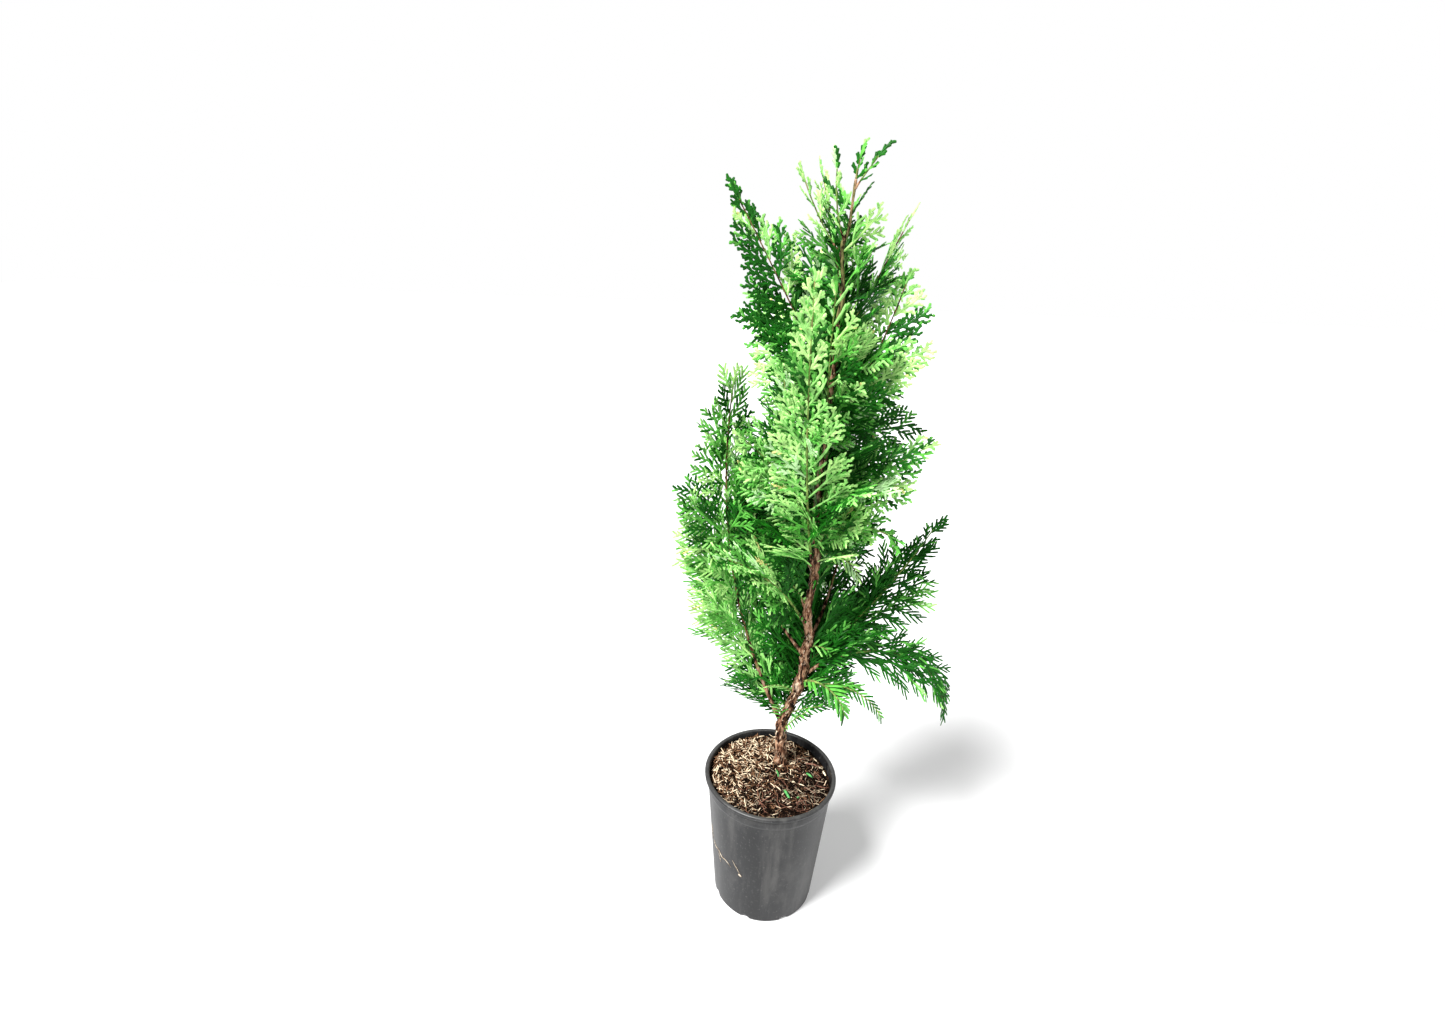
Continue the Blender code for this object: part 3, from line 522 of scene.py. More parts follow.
def limb_path(root, azimuth, length, rise_root, rise_tip):
    """Points of a limb whose rise and heading turn evenly along it."""
    points = [root.copy()]
    for i in range(LIMB_STEPS):
        along = (i + 0.5) / LIMB_STEPS
        ahead = rising(azimuth + LIMB_SWING * (along - 0.5), blend(rise_root, rise_tip, along))
        points.append(points[-1] + ahead * (length / LIMB_STEPS))
    return points


def shoot_path(height, azimuth, length, rise_root, rise_tip):
    """Points of a limb on the trunk, with its height and length in millimetres."""
    return limb_path(trunk_point(height * MM), azimuth, length * MM, rise_root, rise_tip)


def point_on(points, along):
    """Point and direction at a share of the way along a path of even steps."""
    place_on = min(max(along, 0.0), 1.0) * (len(points) - 1)
    index = min(int(place_on), len(points) - 2)
    ahead = points[index + 1] - points[index]
    return points[index] + ahead * (place_on - index), ahead.normalized()


Limb = namedtuple("Limb", ("name", "height", "azimuth", "path", "bare", "roll"))


def plan_limbs():
    """Lists every limb of the trunk."""
    limbs = []
    for name, height, azimuth, length, rise_root, rise_tip, bare, roll in SEEN_LIMBS:
        path = shoot_path(height, azimuth, length, rise_root, rise_tip)
        limbs.append(Limb(name, height * MM, azimuth, path, bare, roll))
    for i, name in enumerate(FAR_NAMES):
        share = (i + 0.5) / len(FAR_NAMES)
        height = blend(FAR_LOW, FAR_HIGH, share)
        length = table_value(REACH_MM, height / MM) * MM
        rises = blend(*FAR_RISE_ROOT, share), blend(*FAR_RISE_TIP, share)
        first = FAR_FIRST_AZIMUTH + FAR_AZIMUTH_SPREAD * ((FAR_TURN_START + FAR_TURN * i) % 1.0)
        best = None
        for k in range(AZIMUTH_TRIES):
            azimuth = first + AZIMUTH_STEP * ((k + 1) // 2) * (1 if k % 2 else -1)
            path = limb_path(trunk_point(height), azimuth, length, *rises)
            outer = path[CLEAR_FROM_STEP:]
            room = min((a - b).length for limb in limbs for a in outer for b in limb.path[CLEAR_FROM_STEP:])
            if best is None or room > best[0]:
                best = (room, azimuth, path)
            if room > CLEAR_LIMBS:
                break
        limbs.append(Limb(name, height, best[1], best[2], FAR_BARE_SHARE, FAR_ROLL if i % 2 else -FAR_ROLL))
    return limbs


def spray_axes(azimuth, along, ahead, roll):
    """Side and face directions of a spray at a share of its limb."""
    side = UP.cross(level(azimuth + LIMB_SWING * (along - 0.5)))
    face = ahead.cross(side).normalized()
    turn = math.radians(roll)
    return side * math.cos(turn) + face * math.sin(turn), face * math.cos(turn) - side * math.sin(turn)


def twig_length(share, spray):
    """Length of a side spray at a share of its mass's stem."""
    swell = SWELL_START + (1.0 - SWELL_START) * min(share / WIDEST_SHARE, 1.0)
    taper = 1.0 - TIP_LOSS * max(share - WIDEST_SHARE, 0.0) / (1.0 - WIDEST_SHARE)
    return max(min(TWIG_LENGTH_SHARE * spray, TWIG_LENGTH_MAX) * swell * taper, TWIG_LENGTH_MIN)


class Twigs:
    """A batch of curved twigs held as arrays, one row for each twig."""

    fields = ("base", "ahead", "bend", "length", "face", "half", "tone", "slim")
    directions = ("base", "ahead", "bend", "face")

    def __init__(self, *columns):
        for field, column in zip(self.fields, columns):
            values = np.asarray(column, dtype=int if field == "tone" else float)
            setattr(self, field, values.reshape(-1, 3) if field in self.directions else values)
        self.ahead = unit(self.ahead)

    def picked(self, mask):
        """The twigs that a mask keeps."""
        return Twigs(*(getattr(self, field)[mask] for field in self.fields))

    def at(self, share):
        """Points and directions at one share of each twig, or at its own share."""
        share = np.broadcast_to(share, self.length.shape)[:, None]
        point = self.base + self.length[:, None] * (self.ahead * share + 0.5 * self.bend * share * share)
        return point, unit(self.ahead + self.bend * share)


def twig(base, ahead, bend, length, face, half, tone=0, slim=0.0):
    """Row of a batch for one twig."""
    return tuple(base), tuple(ahead), tuple(bend), length, tuple(face), half, tone, slim


def unit(rows):
    """Rows scaled to length one."""
    return rows / np.maximum(np.linalg.norm(rows, axis=1, keepdims=True), 1e-9)


def joined_twigs(*batches):
    """One batch made of several."""
    return Twigs(*(np.concatenate([getattr(batch, field) for batch in batches]) for field in Twigs.fields))


def tube_faces(rings, count, first=0):
    """Triangles between rings of points that follow one another."""
    faces = []
    for j in range(rings - 1):
        for k in range(count):
            a = first + j * count + k
            b = first + j * count + (k + 1) % count
            faces += [(a, b, b + count), (a, b + count, a + count)]
    return faces


def closed_tube(rings, count):
    """Triangles of rings with one point before them and one after them."""
    faces = tube_faces(rings, count, 1)
    last = 1 + (rings - 1) * count
    for k in range(count):
        near = (k + 1) % count
        faces += [(0, 1 + near, 1 + k), (last + k, last + near, last + count)]
    return np.array(faces)


def ribbon_form(twigs, rings, first, last, flatness, tooth):
    """Points and triangles of closed flat twigs with a ridge above and below and toothed edges."""
    count = len(twigs.length)
    stride = 4 * rings + 2
    points = np.zeros((count, stride, 3))
    points[:, 0] = twigs.base
    points[:, -1] = twigs.at(1.0)[0]
    for j in range(rings):
        share = blend(first, last, j / max(rings - 1, 1))
        centre, ahead = twigs.at(share)
        side = unit(np.cross(ahead, twigs.face))
        swell = min(1.0, 0.72 + 1.6 * share) * (1.0 - 0.30 * share ** 3)
        wide = side * (twigs.half * swell * (tooth if j % 2 else 1.0))[:, None]
        thick = np.cross(side, ahead) * (twigs.half * swell * flatness)[:, None]
        for k, step in enumerate((-wide, thick, wide, -thick)):
            points[:, 1 + 4 * j + k] = centre + step
    faces = closed_tube(rings, 4) + (np.arange(count) * stride)[:, None, None]
    return points.reshape(-1, 3), faces.reshape(-1, 3)


def ribbons(twigs, spacing, flatness, tooth, least, most, first, last):
    """Ribbon forms of twigs, with more rings on longer twigs."""
    counts = np.clip(np.round(twigs.length / spacing).astype(int), least, most)
    forms = []
    for rings in np.unique(counts):
        forms.append(ribbon_form(twigs.picked(counts == rings), int(rings), first, last, flatness, tooth))
    return forms


def merged(forms):
    """Joins pairs of points and triangles into one."""
    shifts = np.cumsum([0] + [len(points) for points, faces in forms[:-1]])
    points = np.concatenate([points for points, faces in forms])
    return points, np.concatenate([faces + shift for (points, faces), shift in zip(forms, shifts)])


def smooth_line(points, spacing):
    """Points at even spacing on a rounded line through others."""
    line = []
    for i, (a, b) in enumerate(zip(points, points[1:])):
        before = points[max(i - 1, 0)]
        after = points[min(i + 2, len(points) - 1)]
        count = max(int((b - a).length / spacing), 1)
        for k in range(count):
            t = k / count
            line.append(0.5 * (
                2.0 * a + (b - before) * t + (2.0 * before - 5.0 * a + 4.0 * b - after) * t * t
                + (3.0 * a - before - 3.0 * b + after) * t * t * t
            ))
    line.append(points[-1].copy())
    return line


def swept(line, radius_at, sides, relief_at):
    """Points and triangles of a limb swept along a line, with relief on its surface."""
    points = [line[0]]
    side = (line[1] - line[0]).normalized().orthogonal().normalized()
    for i, centre in enumerate(line):
        ahead = (line[min(i + 1, len(line) - 1)] - line[max(i - 1, 0)]).normalized()
        side = (side - ahead * side.dot(ahead)).normalized()
        other = ahead.cross(side)
        radius = radius_at(i / (len(line) - 1))
        for k in range(sides):
            turn = math.tau * k / sides
            out = side * math.cos(turn) + other * math.sin(turn)
            points.append(centre + out * (radius + relief_at(centre + out * radius, radius)))
    points.append(line[-1])
    return np.array([tuple(point) for point in points]), closed_tube(len(line), sides)


def placed(name, data):
    """Object in the scene for a mesh, a lamp or a camera."""
    thing = bpy.data.objects.new(name, data)
    bpy.context.scene.collection.objects.link(thing)
    return thing


def piece(name, form, look, nodes=(), smooth=True):
    """Makes an object of the picture from points and triangles and lets it ride on the frame."""
    mesh = bpy.data.meshes.new(name)
    mesh.from_pydata(form[0], [], form[1])
    mesh.validate()
    mesh.polygons.foreach_set("use_smooth", [smooth] * len(mesh.polygons))
    mesh.update()
    mesh.materials.append(look)
    thing = placed(name, mesh)
    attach(thing, "root")
    if nodes:
        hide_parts(*nodes)
    return thing


def feed(tree, node, given):
    """Links or sets the inputs of a node."""
    for name, value in given.items():
        socket = node.inputs[name]
        if isinstance(value, bpy.types.NodeSocket):
            tree.links.new(value, socket)
        elif socket.type == "RGBA":
            socket.default_value = (*value, 1.0)
        else:
            socket.default_value = value


def add_node(tree, kind, given, **settings):
    """Adds a shader node with its settings and inputs, and gives its outputs."""
    node = tree.nodes.new("ShaderNode" + kind)
    for name, value in settings.items():
        setattr(node, name, value)
    feed(tree, node, given)
    return node.outputs


def mixed(tree, factor, first, second):
    """Colour between two others by a factor."""
    given = {"Factor": factor, "A": first, "B": second}
    return add_node(tree, "Mix", given, data_type="RGBA")["Result"]


def flecks():
    """Shader group: three colours by stretched noise, with the noise put out as a height."""
    made = bpy.data.node_groups.get("flecks")
    if made:
        return made
    made = bpy.data.node_groups.new("flecks", "ShaderNodeTree")
    sockets = (
        ("INPUT", "Color", ("Deep", "Main", "Pale")), ("INPUT", "Float", ("Scale",)),
        ("INPUT", "Vector", ("Stretch",)), ("INPUT", "Float", ("Low", "High")),
        ("OUTPUT", "Color", ("Color",)), ("OUTPUT", "Float", ("Height",)),
    )
    for way, kind, names in sockets:
        for name in names:
            made.interface.new_socket(name=name, in_out=way, socket_type="NodeSocket" + kind)
    given = made.nodes.new("NodeGroupInput").outputs
    coords = add_node(made, "TexCoord", {})
    place = add_node(made, "Mapping", {"Vector": coords["Object"], "Scale": given["Stretch"]})
    speckle = add_node(made, "TexNoise", {
        "Vector": place["Vector"], "Scale": given["Scale"], "Detail": 5.0, "Roughness": 0.6,
    })["Fac"]
    spread = add_node(made, "MapRange", {
        "Value": speckle, "From Min": given["Low"], "From Max": given["High"], "To Max": 2.0,
    })["Result"]
    upper = add_node(made, "Math", {0: spread, 1: 1.0}, operation="SUBTRACT")["Value"]
    colour = mixed(made, upper, mixed(made, spread, given["Deep"], given["Main"]), given["Pale"])
    feed(made, made.nodes.new("NodeGroupOutput"), {"Color": colour, "Height": speckle})
    return made


def flecked(tree, colours, scale, stretch=WHITE, low=0.34, high=0.68):
    """Places the fleck group in a material with its own colours and scale."""
    given = dict(zip(("Deep", "Main", "Pale"), colours), Scale=scale, Stretch=stretch, Low=low, High=high)
    return add_node(tree, "Group", given, node_tree=flecks())


def new_material(name, colour, roughness, specular):
    """Principled material with its tree and shader."""
    made = bpy.data.materials.new(name)
    made.use_nodes = True
    shader = made.node_tree.nodes["Principled BSDF"]
    given = {"Base Color": colour, "Roughness": roughness, "Specular IOR Level": specular}
    feed(made.node_tree, shader, given)
    return made, made.node_tree, shader


def surfaced(tree, shader, colour, height, strength, depth):
    """Gives a shader its colour, and a bump from a height."""
    bump = add_node(tree, "Bump", {"Strength": strength, "Distance": depth, "Height": height})
    feed(tree, shader, {"Base Color": colour, "Normal": bump["Normal"]})


def scaled(colour, share):
    """A colour made lighter or darker."""
    return tuple(min(max(part * share, 0.0), 1.0) for part in colour)


def speckled_material(name, colours, scale, roughness, specular, strength, depth):
    """Material whose colour and bump come from one set of flecks."""
    made, tree, shader = new_material(name, colours[1], roughness, specular)
    group = flecked(tree, colours, scale)
    surfaced(tree, shader, group["Color"], group["Height"], strength, depth)
    return made


def leaf_material(name, colour):
    """Scale-leaf green with small changes of shade and a fine scaly bump."""
    made, tree, shader = new_material(name, colour, 0.50, 0.13)
    shades = flecked(tree, (scaled(colour, 0.55), colour, scaled(colour, 1.45)), 150.0)
    scales = flecked(tree, (colour, colour, colour), 1100.0)
    surfaced(tree, shader, shades["Color"], scales["Height"], 0.30, 0.0004)
    return made


def bark_material(name, colours, scale):
    """Flaky bark: pale flakes over a darker ground, drawn out along the stem."""
    made, tree, shader = new_material(name, colours[1], 0.90, 0.10)
    strips = flecked(tree, colours[:3], scale, (1.0, 1.0, 0.28), 0.43, 0.60)
    patches = flecked(tree, MASK, scale * 0.45, (1.0, 1.0, 0.4), 0.40, 0.70)
    colour = mixed(tree, patches["Color"], strips["Color"], colours[3])
    surfaced(tree, shader, colour, strips["Height"], 1.0, 0.0016)
    return made


def plastic(colour, dust_and_sheen):
    """Satin black plastic with upright smears, scuffs and specks, and a paler colour on what faces up that
    is partly a dusty film and partly a painted highlight.
    """
    made, tree, shader = new_material("satin_black_plastic", colour, 0.40, 0.33)
    shades = (scaled(colour, 0.4), colour, dust_and_sheen)
    smears = flecked(tree, shades, 70.0, (1.0, 1.0, 0.08), 0.36, 0.68)
    scuffs = flecked(tree, shades, 26.0, (1.0, 1.0, 0.6), 0.36, 0.74)
    specks = flecked(tree, MASK, 520.0, (1.0, 1.0, 0.7), 0.36, 0.80)
    # Faces that look up are mixed towards the pale colour: partly a settled dusty film, partly a painted
    # highlight on the rim's top
    normal = add_node(tree, "SeparateXYZ", {"Vector": add_node(tree, "NewGeometry", {})["Normal"]})
    facing = {"Value": normal["Z"], "From Min": 0.25, "From Max": 0.95, "To Max": 0.42}
    upward_dust_and_sheen = add_node(tree, "MapRange", facing)["Result"]
    amount = add_node(tree, "Math", {0: upward_dust_and_sheen, 1: specks["Color"]}, operation="ADD", use_clamp=True)
    dusted_and_sheened = mixed(tree, amount["Value"], mixed(tree, 0.5, smears["Color"], scuffs["Color"]), dust_and_sheen)
    rough = add_node(tree, "MapRange", {"Value": smears["Height"], "To Min": 0.22, "To Max": 0.60})
    feed(tree, shader, {"Roughness": rough["Result"]})
    surfaced(tree, shader, dusted_and_sheened, scuffs["Height"], 0.06, 0.0010)
    return made


def strewn(name, rows, kind, colour):
    """Piece of small twigs of one kind, in one speckled colour."""
    ribbon, (dark, pale), finish = kind
    look = speckled_material(name, (scaled(colour, dark), colour, scaled(colour, pale)), *finish)
    piece(name, merged(ribbons(Twigs(*zip(*rows)), *ribbon)), look)


def size(name, description, default):
    """Setting for a length."""
    return FloatProperty(name=name, description=description, default=default, unit="LENGTH")


def tint(name, description, *default):
    """Setting for a colour."""
    return FloatVectorProperty(name=name, description=description, default=default, subtype="COLOR")


def number(name, description, default):
    """Setting for a count."""
    return IntProperty(name=name, description=description, default=default)


class PotSettings(bpy.types.PropertyGroup):
    """Sizes and colour of the pot."""

    rim_radius: size("Rim radius", "Outer radius of the rim", 0.0570)
    height: size("Height", "Height of the pot", 0.1285)
    wall: size("Wall", "Wall thickness", 0.0013)
    wall_top: size("Wall top", "Outer radius under the rim", 0.0546)
    base_radius: size("Base", "Outer radius at the foot", 0.0445)
    rim_depth: size("Rim depth", "Height of the rim", 0.0036)
    segments: number("Segments", "Steps round the pot", 192)
    colour: tint("Plastic", "Colour of the plastic", 0.0105, 0.0110, 0.0122)
    # Pale colour of the smears and specks, also laid on upward faces as a painted highlight
    dust_and_sheen: tint("Dust", "Dusty smears", 0.078, 0.076, 0.073)


class SoilSettings(bpy.types.PropertyGroup):
    """Sizes and colours of the potting mix."""

    hulls: number("Hulls", "Number of pale hull slivers", 2200)
    chunks: number("Chips", "Number of dark bark chips", 620)
    fibres: number("Fibres", "Number of fine root fibres", 300)
    hull_length: size("Hull length", "Length of a hull", 0.0062)
    relief: size("Relief", "Unevenness of the surface", 0.0020)
    straw: tint("Straw", "Pale hulls", 0.78, 0.62, 0.43)
    tan: tint("Tan", "Darker hulls", 0.170, 0.088, 0.046)
    brown: tint("Brown", "Bark chips", 0.006, 0.0026, 0.0015)
    red: tint("Red", "Root fibres", 0.230, 0.105, 0.070)
    ground: tint("Ground", "Underneath", 0.005, 0.0024, 0.0015)
    green: tint("Green", "Fallen bits", 0.070, 0.300, 0.075)


class WoodSettings(bpy.types.PropertyGroup):
    """Form and colours of the bark."""

    relief: size("Relief", "Depth of the bark's ridges", 0.00075)
    green_from: size("Green from", "Where the bark turns green", 0.385)
    dark: tint("Crevices", "Deepest bark", 0.010, 0.004, 0.002)
    brown: tint("Bark", "Main bark", 0.160, 0.070, 0.038)
    tan: tint("Flakes", "Lifted flakes", 0.410, 0.245, 0.150)
    pale: tint("Pale flakes", "Palest flakes", 0.660, 0.490, 0.350)
    green: tint("Young bark", "Bark near the tip", 0.125, 0.110, 0.042)


class FoliageSettings(bpy.types.PropertyGroup):
    """Spacing, widths and greens of the sprays."""

    spray_spacing: size("Spray spacing", "Along a limb", 0.0068)
    compound_from: size("Compound", "Sprays this long branch twice", 0.030)
    branchlet_spacing: size("Branchlets", "Along a spray", 0.0064)
    finger_spacing: size("Fingers", "Along a branchlet", 0.0026)
    long_finger_spacing: size("Long fingers", "Along a fan", 0.0037)
    inner: number("Inner sprays", "Sprays that stand on the trunk", 176)
    half_width: size("Half width", "Half the width of a finger", 0.00114)
    deep: tint("Deep", "Deep green", 0.008, 0.098, 0.005)
    mid: tint("Mid", "Mid green", 0.098, 0.375, 0.052)
    fresh: tint("Fresh", "Fresh green", 0.285, 0.640, 0.165)
    bright: tint("Bright", "Young green", 0.460, 0.820, 0.250)
    # Grey-green of the bloom, dealt partly as painted highlight on lit fingers
    pale: tint("Pale", "Pale green", 0.430, 0.700, 0.330)
    gold: tint("Gold", "Yellowed tips", 0.700, 0.680, 0.240)


class StageSettings(bpy.types.PropertyGroup):
    """Floor, lights and camera."""

    floor: tint("Floor", "Floor colour", 0.56, 0.56, 0.56)
    glow: FloatProperty(name="Floor glow", description="Own light of the floor", default=0.30)
    sky: FloatProperty(name="Sky", description="Strength of the even light", default=0.38)
    key: FloatProperty(name="Key", description="Strength of the key light", default=8.3)
    fill: FloatProperty(name="Fill", description="Power of the fill light", default=4.0, unit="POWER")


def wall_fall(pot):
    """How much the pot's radius falls for each unit of depth."""
    return (pot.wall_top - pot.base_radius) / pot.height


def pot_profile(sizes):
    """Radii and heights of the pot's section, from the floor inside over the rim to the underside."""
    top = sizes.height
    rim = sizes.rim_radius
    outer = sizes.wall_top
    foot = sizes.base_radius
    fall = wall_fall(sizes)
    inner = outer - sizes.wall
    foot_inner = foot - sizes.wall
    profile = [(0.0, POT_FLOOR), (foot_inner - 0.004, POT_FLOOR), (foot_inner - 0.0006, 0.0034)]
    profile += [(foot_inner + fall * z, z) for z in np.linspace(0.006, top - 0.004, 12)]
    for k in range(7):
        turn = math.pi * k / 6
        swell = 1.0 - 0.06 * math.sin(turn)
        radius = inner + (rim - inner) * 0.5 * (1.0 - math.cos(turn)) * swell
        profile.append((radius, top - LIP_ROUND + LIP_ROUND * math.sin(turn)))
    lip = top - sizes.rim_depth
    profile += [(rim, top - 2.0 * LIP_ROUND), (rim - 0.0001, lip + 0.0006), (rim - 0.0006, lip + 0.0001)]
    profile += [(outer + 0.0003, lip - 0.0001), (outer - 0.0001, lip - 0.0007)]
    band = top - BAND_DEPTH
    for z in np.linspace(lip - 0.002, band + 0.0005, 5):
        profile.append((outer - fall * (top - z) + BAND_STEP, z))
    profile.append((outer - fall * (top - band) + 0.00005, band - 0.0002))
    profile += [(outer - fall * (top - z), z) for z in np.linspace(band - 0.001, 0.0075, 14)]
    profile += [(foot + fall * z, z) for z in np.linspace(0.0065, FOOT_ROUND, 7)]
    for k in range(1, 5):
        turn = 0.5 * math.pi * k / 4
        profile.append((foot - FOOT_ROUND * (1.0 - math.cos(turn)), FOOT_ROUND * (1.0 - math.sin(turn))))
    return profile + [(foot * share, 0.0) for share in (0.92, 0.85, 0.6, 0.3, 0.0)]


def notched(radius, z, turn, foot):
    """Radius at the pot's foot with the notches cut in."""
    if radius < foot * 0.88:
        return radius
    half, height, depth = NOTCH
    side = ((turn * NOTCHES / math.tau) % 1.0 - 0.5) * math.tau / NOTCHES * foot
    reach = 1.0 - (side / half) ** 2 - (z / height) ** 2
    return radius - depth * max(reach, 0.0) ** 0.5


class ARBOR_OT_pot(bpy.types.Operator):
    """Turn the pot with its rim, band and drain notches"""

    bl_idname = "arbor.pot"
    bl_label = "Pot"

    def execute(self, context):
        sizes = context.scene.arbor_pot
        count = sizes.segments
        profile = pot_profile(sizes)
        points = []
        for radius, z in profile:
            for turn in (math.tau * k / count for k in range(count)):
                points.append((*around(notched(radius, z, turn, sizes.base_radius), turn), z))
        form = np.array(points), np.array(tube_faces(len(profile), count))[:, ::-1]
        pot = piece("pot_shell", form, plastic(sizes.colour, sizes.dust_and_sheen), ("pot",))
        weld = pot.modifiers.new("axis_weld", "WELD")
        weld.merge_threshold = 0.00001
        pot.data.set_sharp_from_angle(angle=math.radians(SHARP_ANGLE))
        forms = []
        for azimuths, heights, radius in WALL_MARKS:
            corners = []
            for azimuth, height in zip(azimuths, heights):
                reach = sizes.wall_top - wall_fall(sizes) * (sizes.height - height * MM) + 0.0001
                corners.append(Vector((*around(reach, math.radians(azimuth)), height * MM)))
            forms.append(swept(
                smooth_line(corners, 0.0012),
                lambda share: radius * MM * (0.4 + 0.6 * math.sin(math.pi * share)),
                6,
                lambda place, thickness: thickness * 0.5 * noise.noise(place * 900),
            ))
        look = speckled_material("dried_root", DRY_COLOURS, 500.0, 0.9, 0.2, 0.4, 0.0003)
        piece("dried_roots", merged(forms), look)
        return {"FINISHED"}


def bell(x, y, centre, width):
    """Share from 1 at a centre down to 0 around it."""
    return math.exp(-((x - centre[0]) ** 2 + (y - centre[1]) ** 2) / (2 * width ** 2))


def soil_height(x, y, relief):
    """Height of the potting mix, higher at the far left and lower at the near right."""
    slope = MIX_SLOPE * (y - x) / math.sqrt(2.0) / MIX_RADIUS
    lumps = noise.fractal(Vector((x * 95.0, y * 95.0, 3.0)), 0.9, 2.1, 4) * relief
    clods = abs(noise.noise(Vector((x * 240.0, y * 240.0, 7.0)))) * relief * 0.9
    hollow = HOLLOW_DEPTH * bell(x, y, HOLLOW, HOLLOW_WIDTH)
    mound = MOUND_HEIGHT * bell(x, y, (FOOT_X, FOOT_Y), MOUND_WIDTH)
    edge = EDGE_FALL * max(math.hypot(x, y) / MIX_RADIUS - EDGE_FROM, 0.0) / (1.0 - EDGE_FROM)
    return SOIL_TOP - 0.0002 + slope + lumps + clods - hollow + mound - edge


def free_spot(rule, inner, pale):
    """A random place on the mix, more often at the far left for the pale hulls and at the near right for
    the dark bits, which partly paints the shade at the near right.
    """
    while True:
        turn = rule.uniform(0.0, math.tau)
        x, y = around((inner - 0.0015) * math.sqrt(rule.random()), turn)
        if math.dist((x, y), (FOOT_X, FOOT_Y)) < FOOT_CLEAR or math.dist((x, y), HOLLOW) < HOLLOW_CLEAR:
            continue
        # Pale bits lean to the far left and dark ones to the near right: partly painted shade
        lean = min(max(0.52 + 18.0 * (0.66 * y - 0.75 * x), 0.09), 0.95)
        if rule.random() < (lean if pale else 1.05 - lean):
            return x, y


def sliver_row(rule, sizes, inner, pale, length, half, curl):
    """One sliver or fibre that lies on the mix."""
    x, y = free_spot(rule, inner, pale)
    heading = rule.uniform(0.0, math.tau)
    rise = rule.gauss(0.0, 0.30)
    reach = length * rule.uniform(0.55, 1.30)
    ahead = Vector((*around(math.cos(rise), heading), math.sin(rise)))
    if math.hypot(x + ahead.x * reach, y + ahead.y * reach) > inner - 0.0008:
        x, y = x - ahead.x * reach, y - ahead.y * reach
    height = soil_height(x, y, sizes.relief) + rule.uniform(0.0001, 0.0013)
    roll = rule.gauss(0.0, 0.5)
    side = Vector((-math.sin(heading), math.cos(heading), 0.0))
    face = (UP * math.cos(roll) + side * math.sin(roll)).normalized()
    bend = side * rule.gauss(0.0, curl) - UP * rule.uniform(0.0, 0.35)
    return twig((x, y, height), ahead, bend, reach, face, half * rule.uniform(0.7, 1.25))


def litter_row(sizes, x0, y0, x1, y1, half, lift):
    """One single bit that arches over the mix."""
    ends = ((x0 * MM, y0 * MM), (x1 * MM, y1 * MM))
    start, end = (Vector((x, y, soil_height(x, y, sizes.relief))) for x, y in ends)
    run = end - start
    arch = UP * (4.0 * lift * MM / run.length)
    ahead = run.normalized() + arch
    return twig(start + UP * 0.0012, ahead, arch * -2.0, run.length, (0.0, -0.3, 1.0), half * MM)


def chip_form():
    """Corners and triangles of a body with twenty sides."""
    gold = (1.0 + math.sqrt(5.0)) / 2.0
    pairs = [(a, b * gold) for a in (-1, 1) for b in (-1, 1)]
    corners = [(x, y, 0) for x, y in pairs] + [(0, x, y) for x, y in pairs] + [(y, 0, x) for x, y in pairs]
    corners = unit(np.array(corners))
    faces = []
    for i in range(12):
        for j in range(i + 1, 12):
            for k in range(j + 1, 12):
                if all(np.linalg.norm(corners[a] - corners[b]) < 1.2 for a, b in ((i, j), (j, k), (i, k))):
                    out = np.cross(corners[j] - corners[i], corners[k] - corners[i]) @ corners[i]
                    faces.append((i, j, k) if out > 0 else (i, k, j))
    return corners, np.array(faces)


def chips(sizes, rule, inner):
    """Strews angular bark chips."""
    corners, faces = chip_form()
    forms = []
    for _ in range(sizes.chunks):
        x, y = free_spot(rule, inner, False)
        if math.hypot(x, y) > inner - 0.0035:
            continue
        width = rule.uniform(*CHIP_WIDTH)
        shape = np.array([rule.uniform(*side) for side in CHIP_SIDES]) * width
        rough = corners * (1.0 + np.array([[rule.uniform(-CHIP_ROUGH, CHIP_ROUGH)] for _ in corners]))
        turned = Matrix.Rotation(rule.uniform(0, math.tau), 3, "Z")
        spin = np.array(turned @ Matrix.Rotation(rule.gauss(0, 0.5), 3, "X"))
        place = np.array((x, y, soil_height(x, y, sizes.relief) + width * 0.15))
        forms.append(((rough * shape) @ spin.T + place, faces))
    for x, y, width in BIG_CHIPS:
        place = np.array((x, y, soil_height(x, y, sizes.relief) + 0.0004))
        forms.append((corners * np.array((width, width * 0.7, width * 0.45)) + place, faces))
    colours = (scaled(sizes.brown, 0.35), sizes.brown, scaled(sizes.tan, 0.4))
    look = speckled_material("bark_chips", colours, 380.0, 0.95, 0.06, 0.8, 0.0006)
    piece("bark_chips", merged(forms), look, smooth=False)


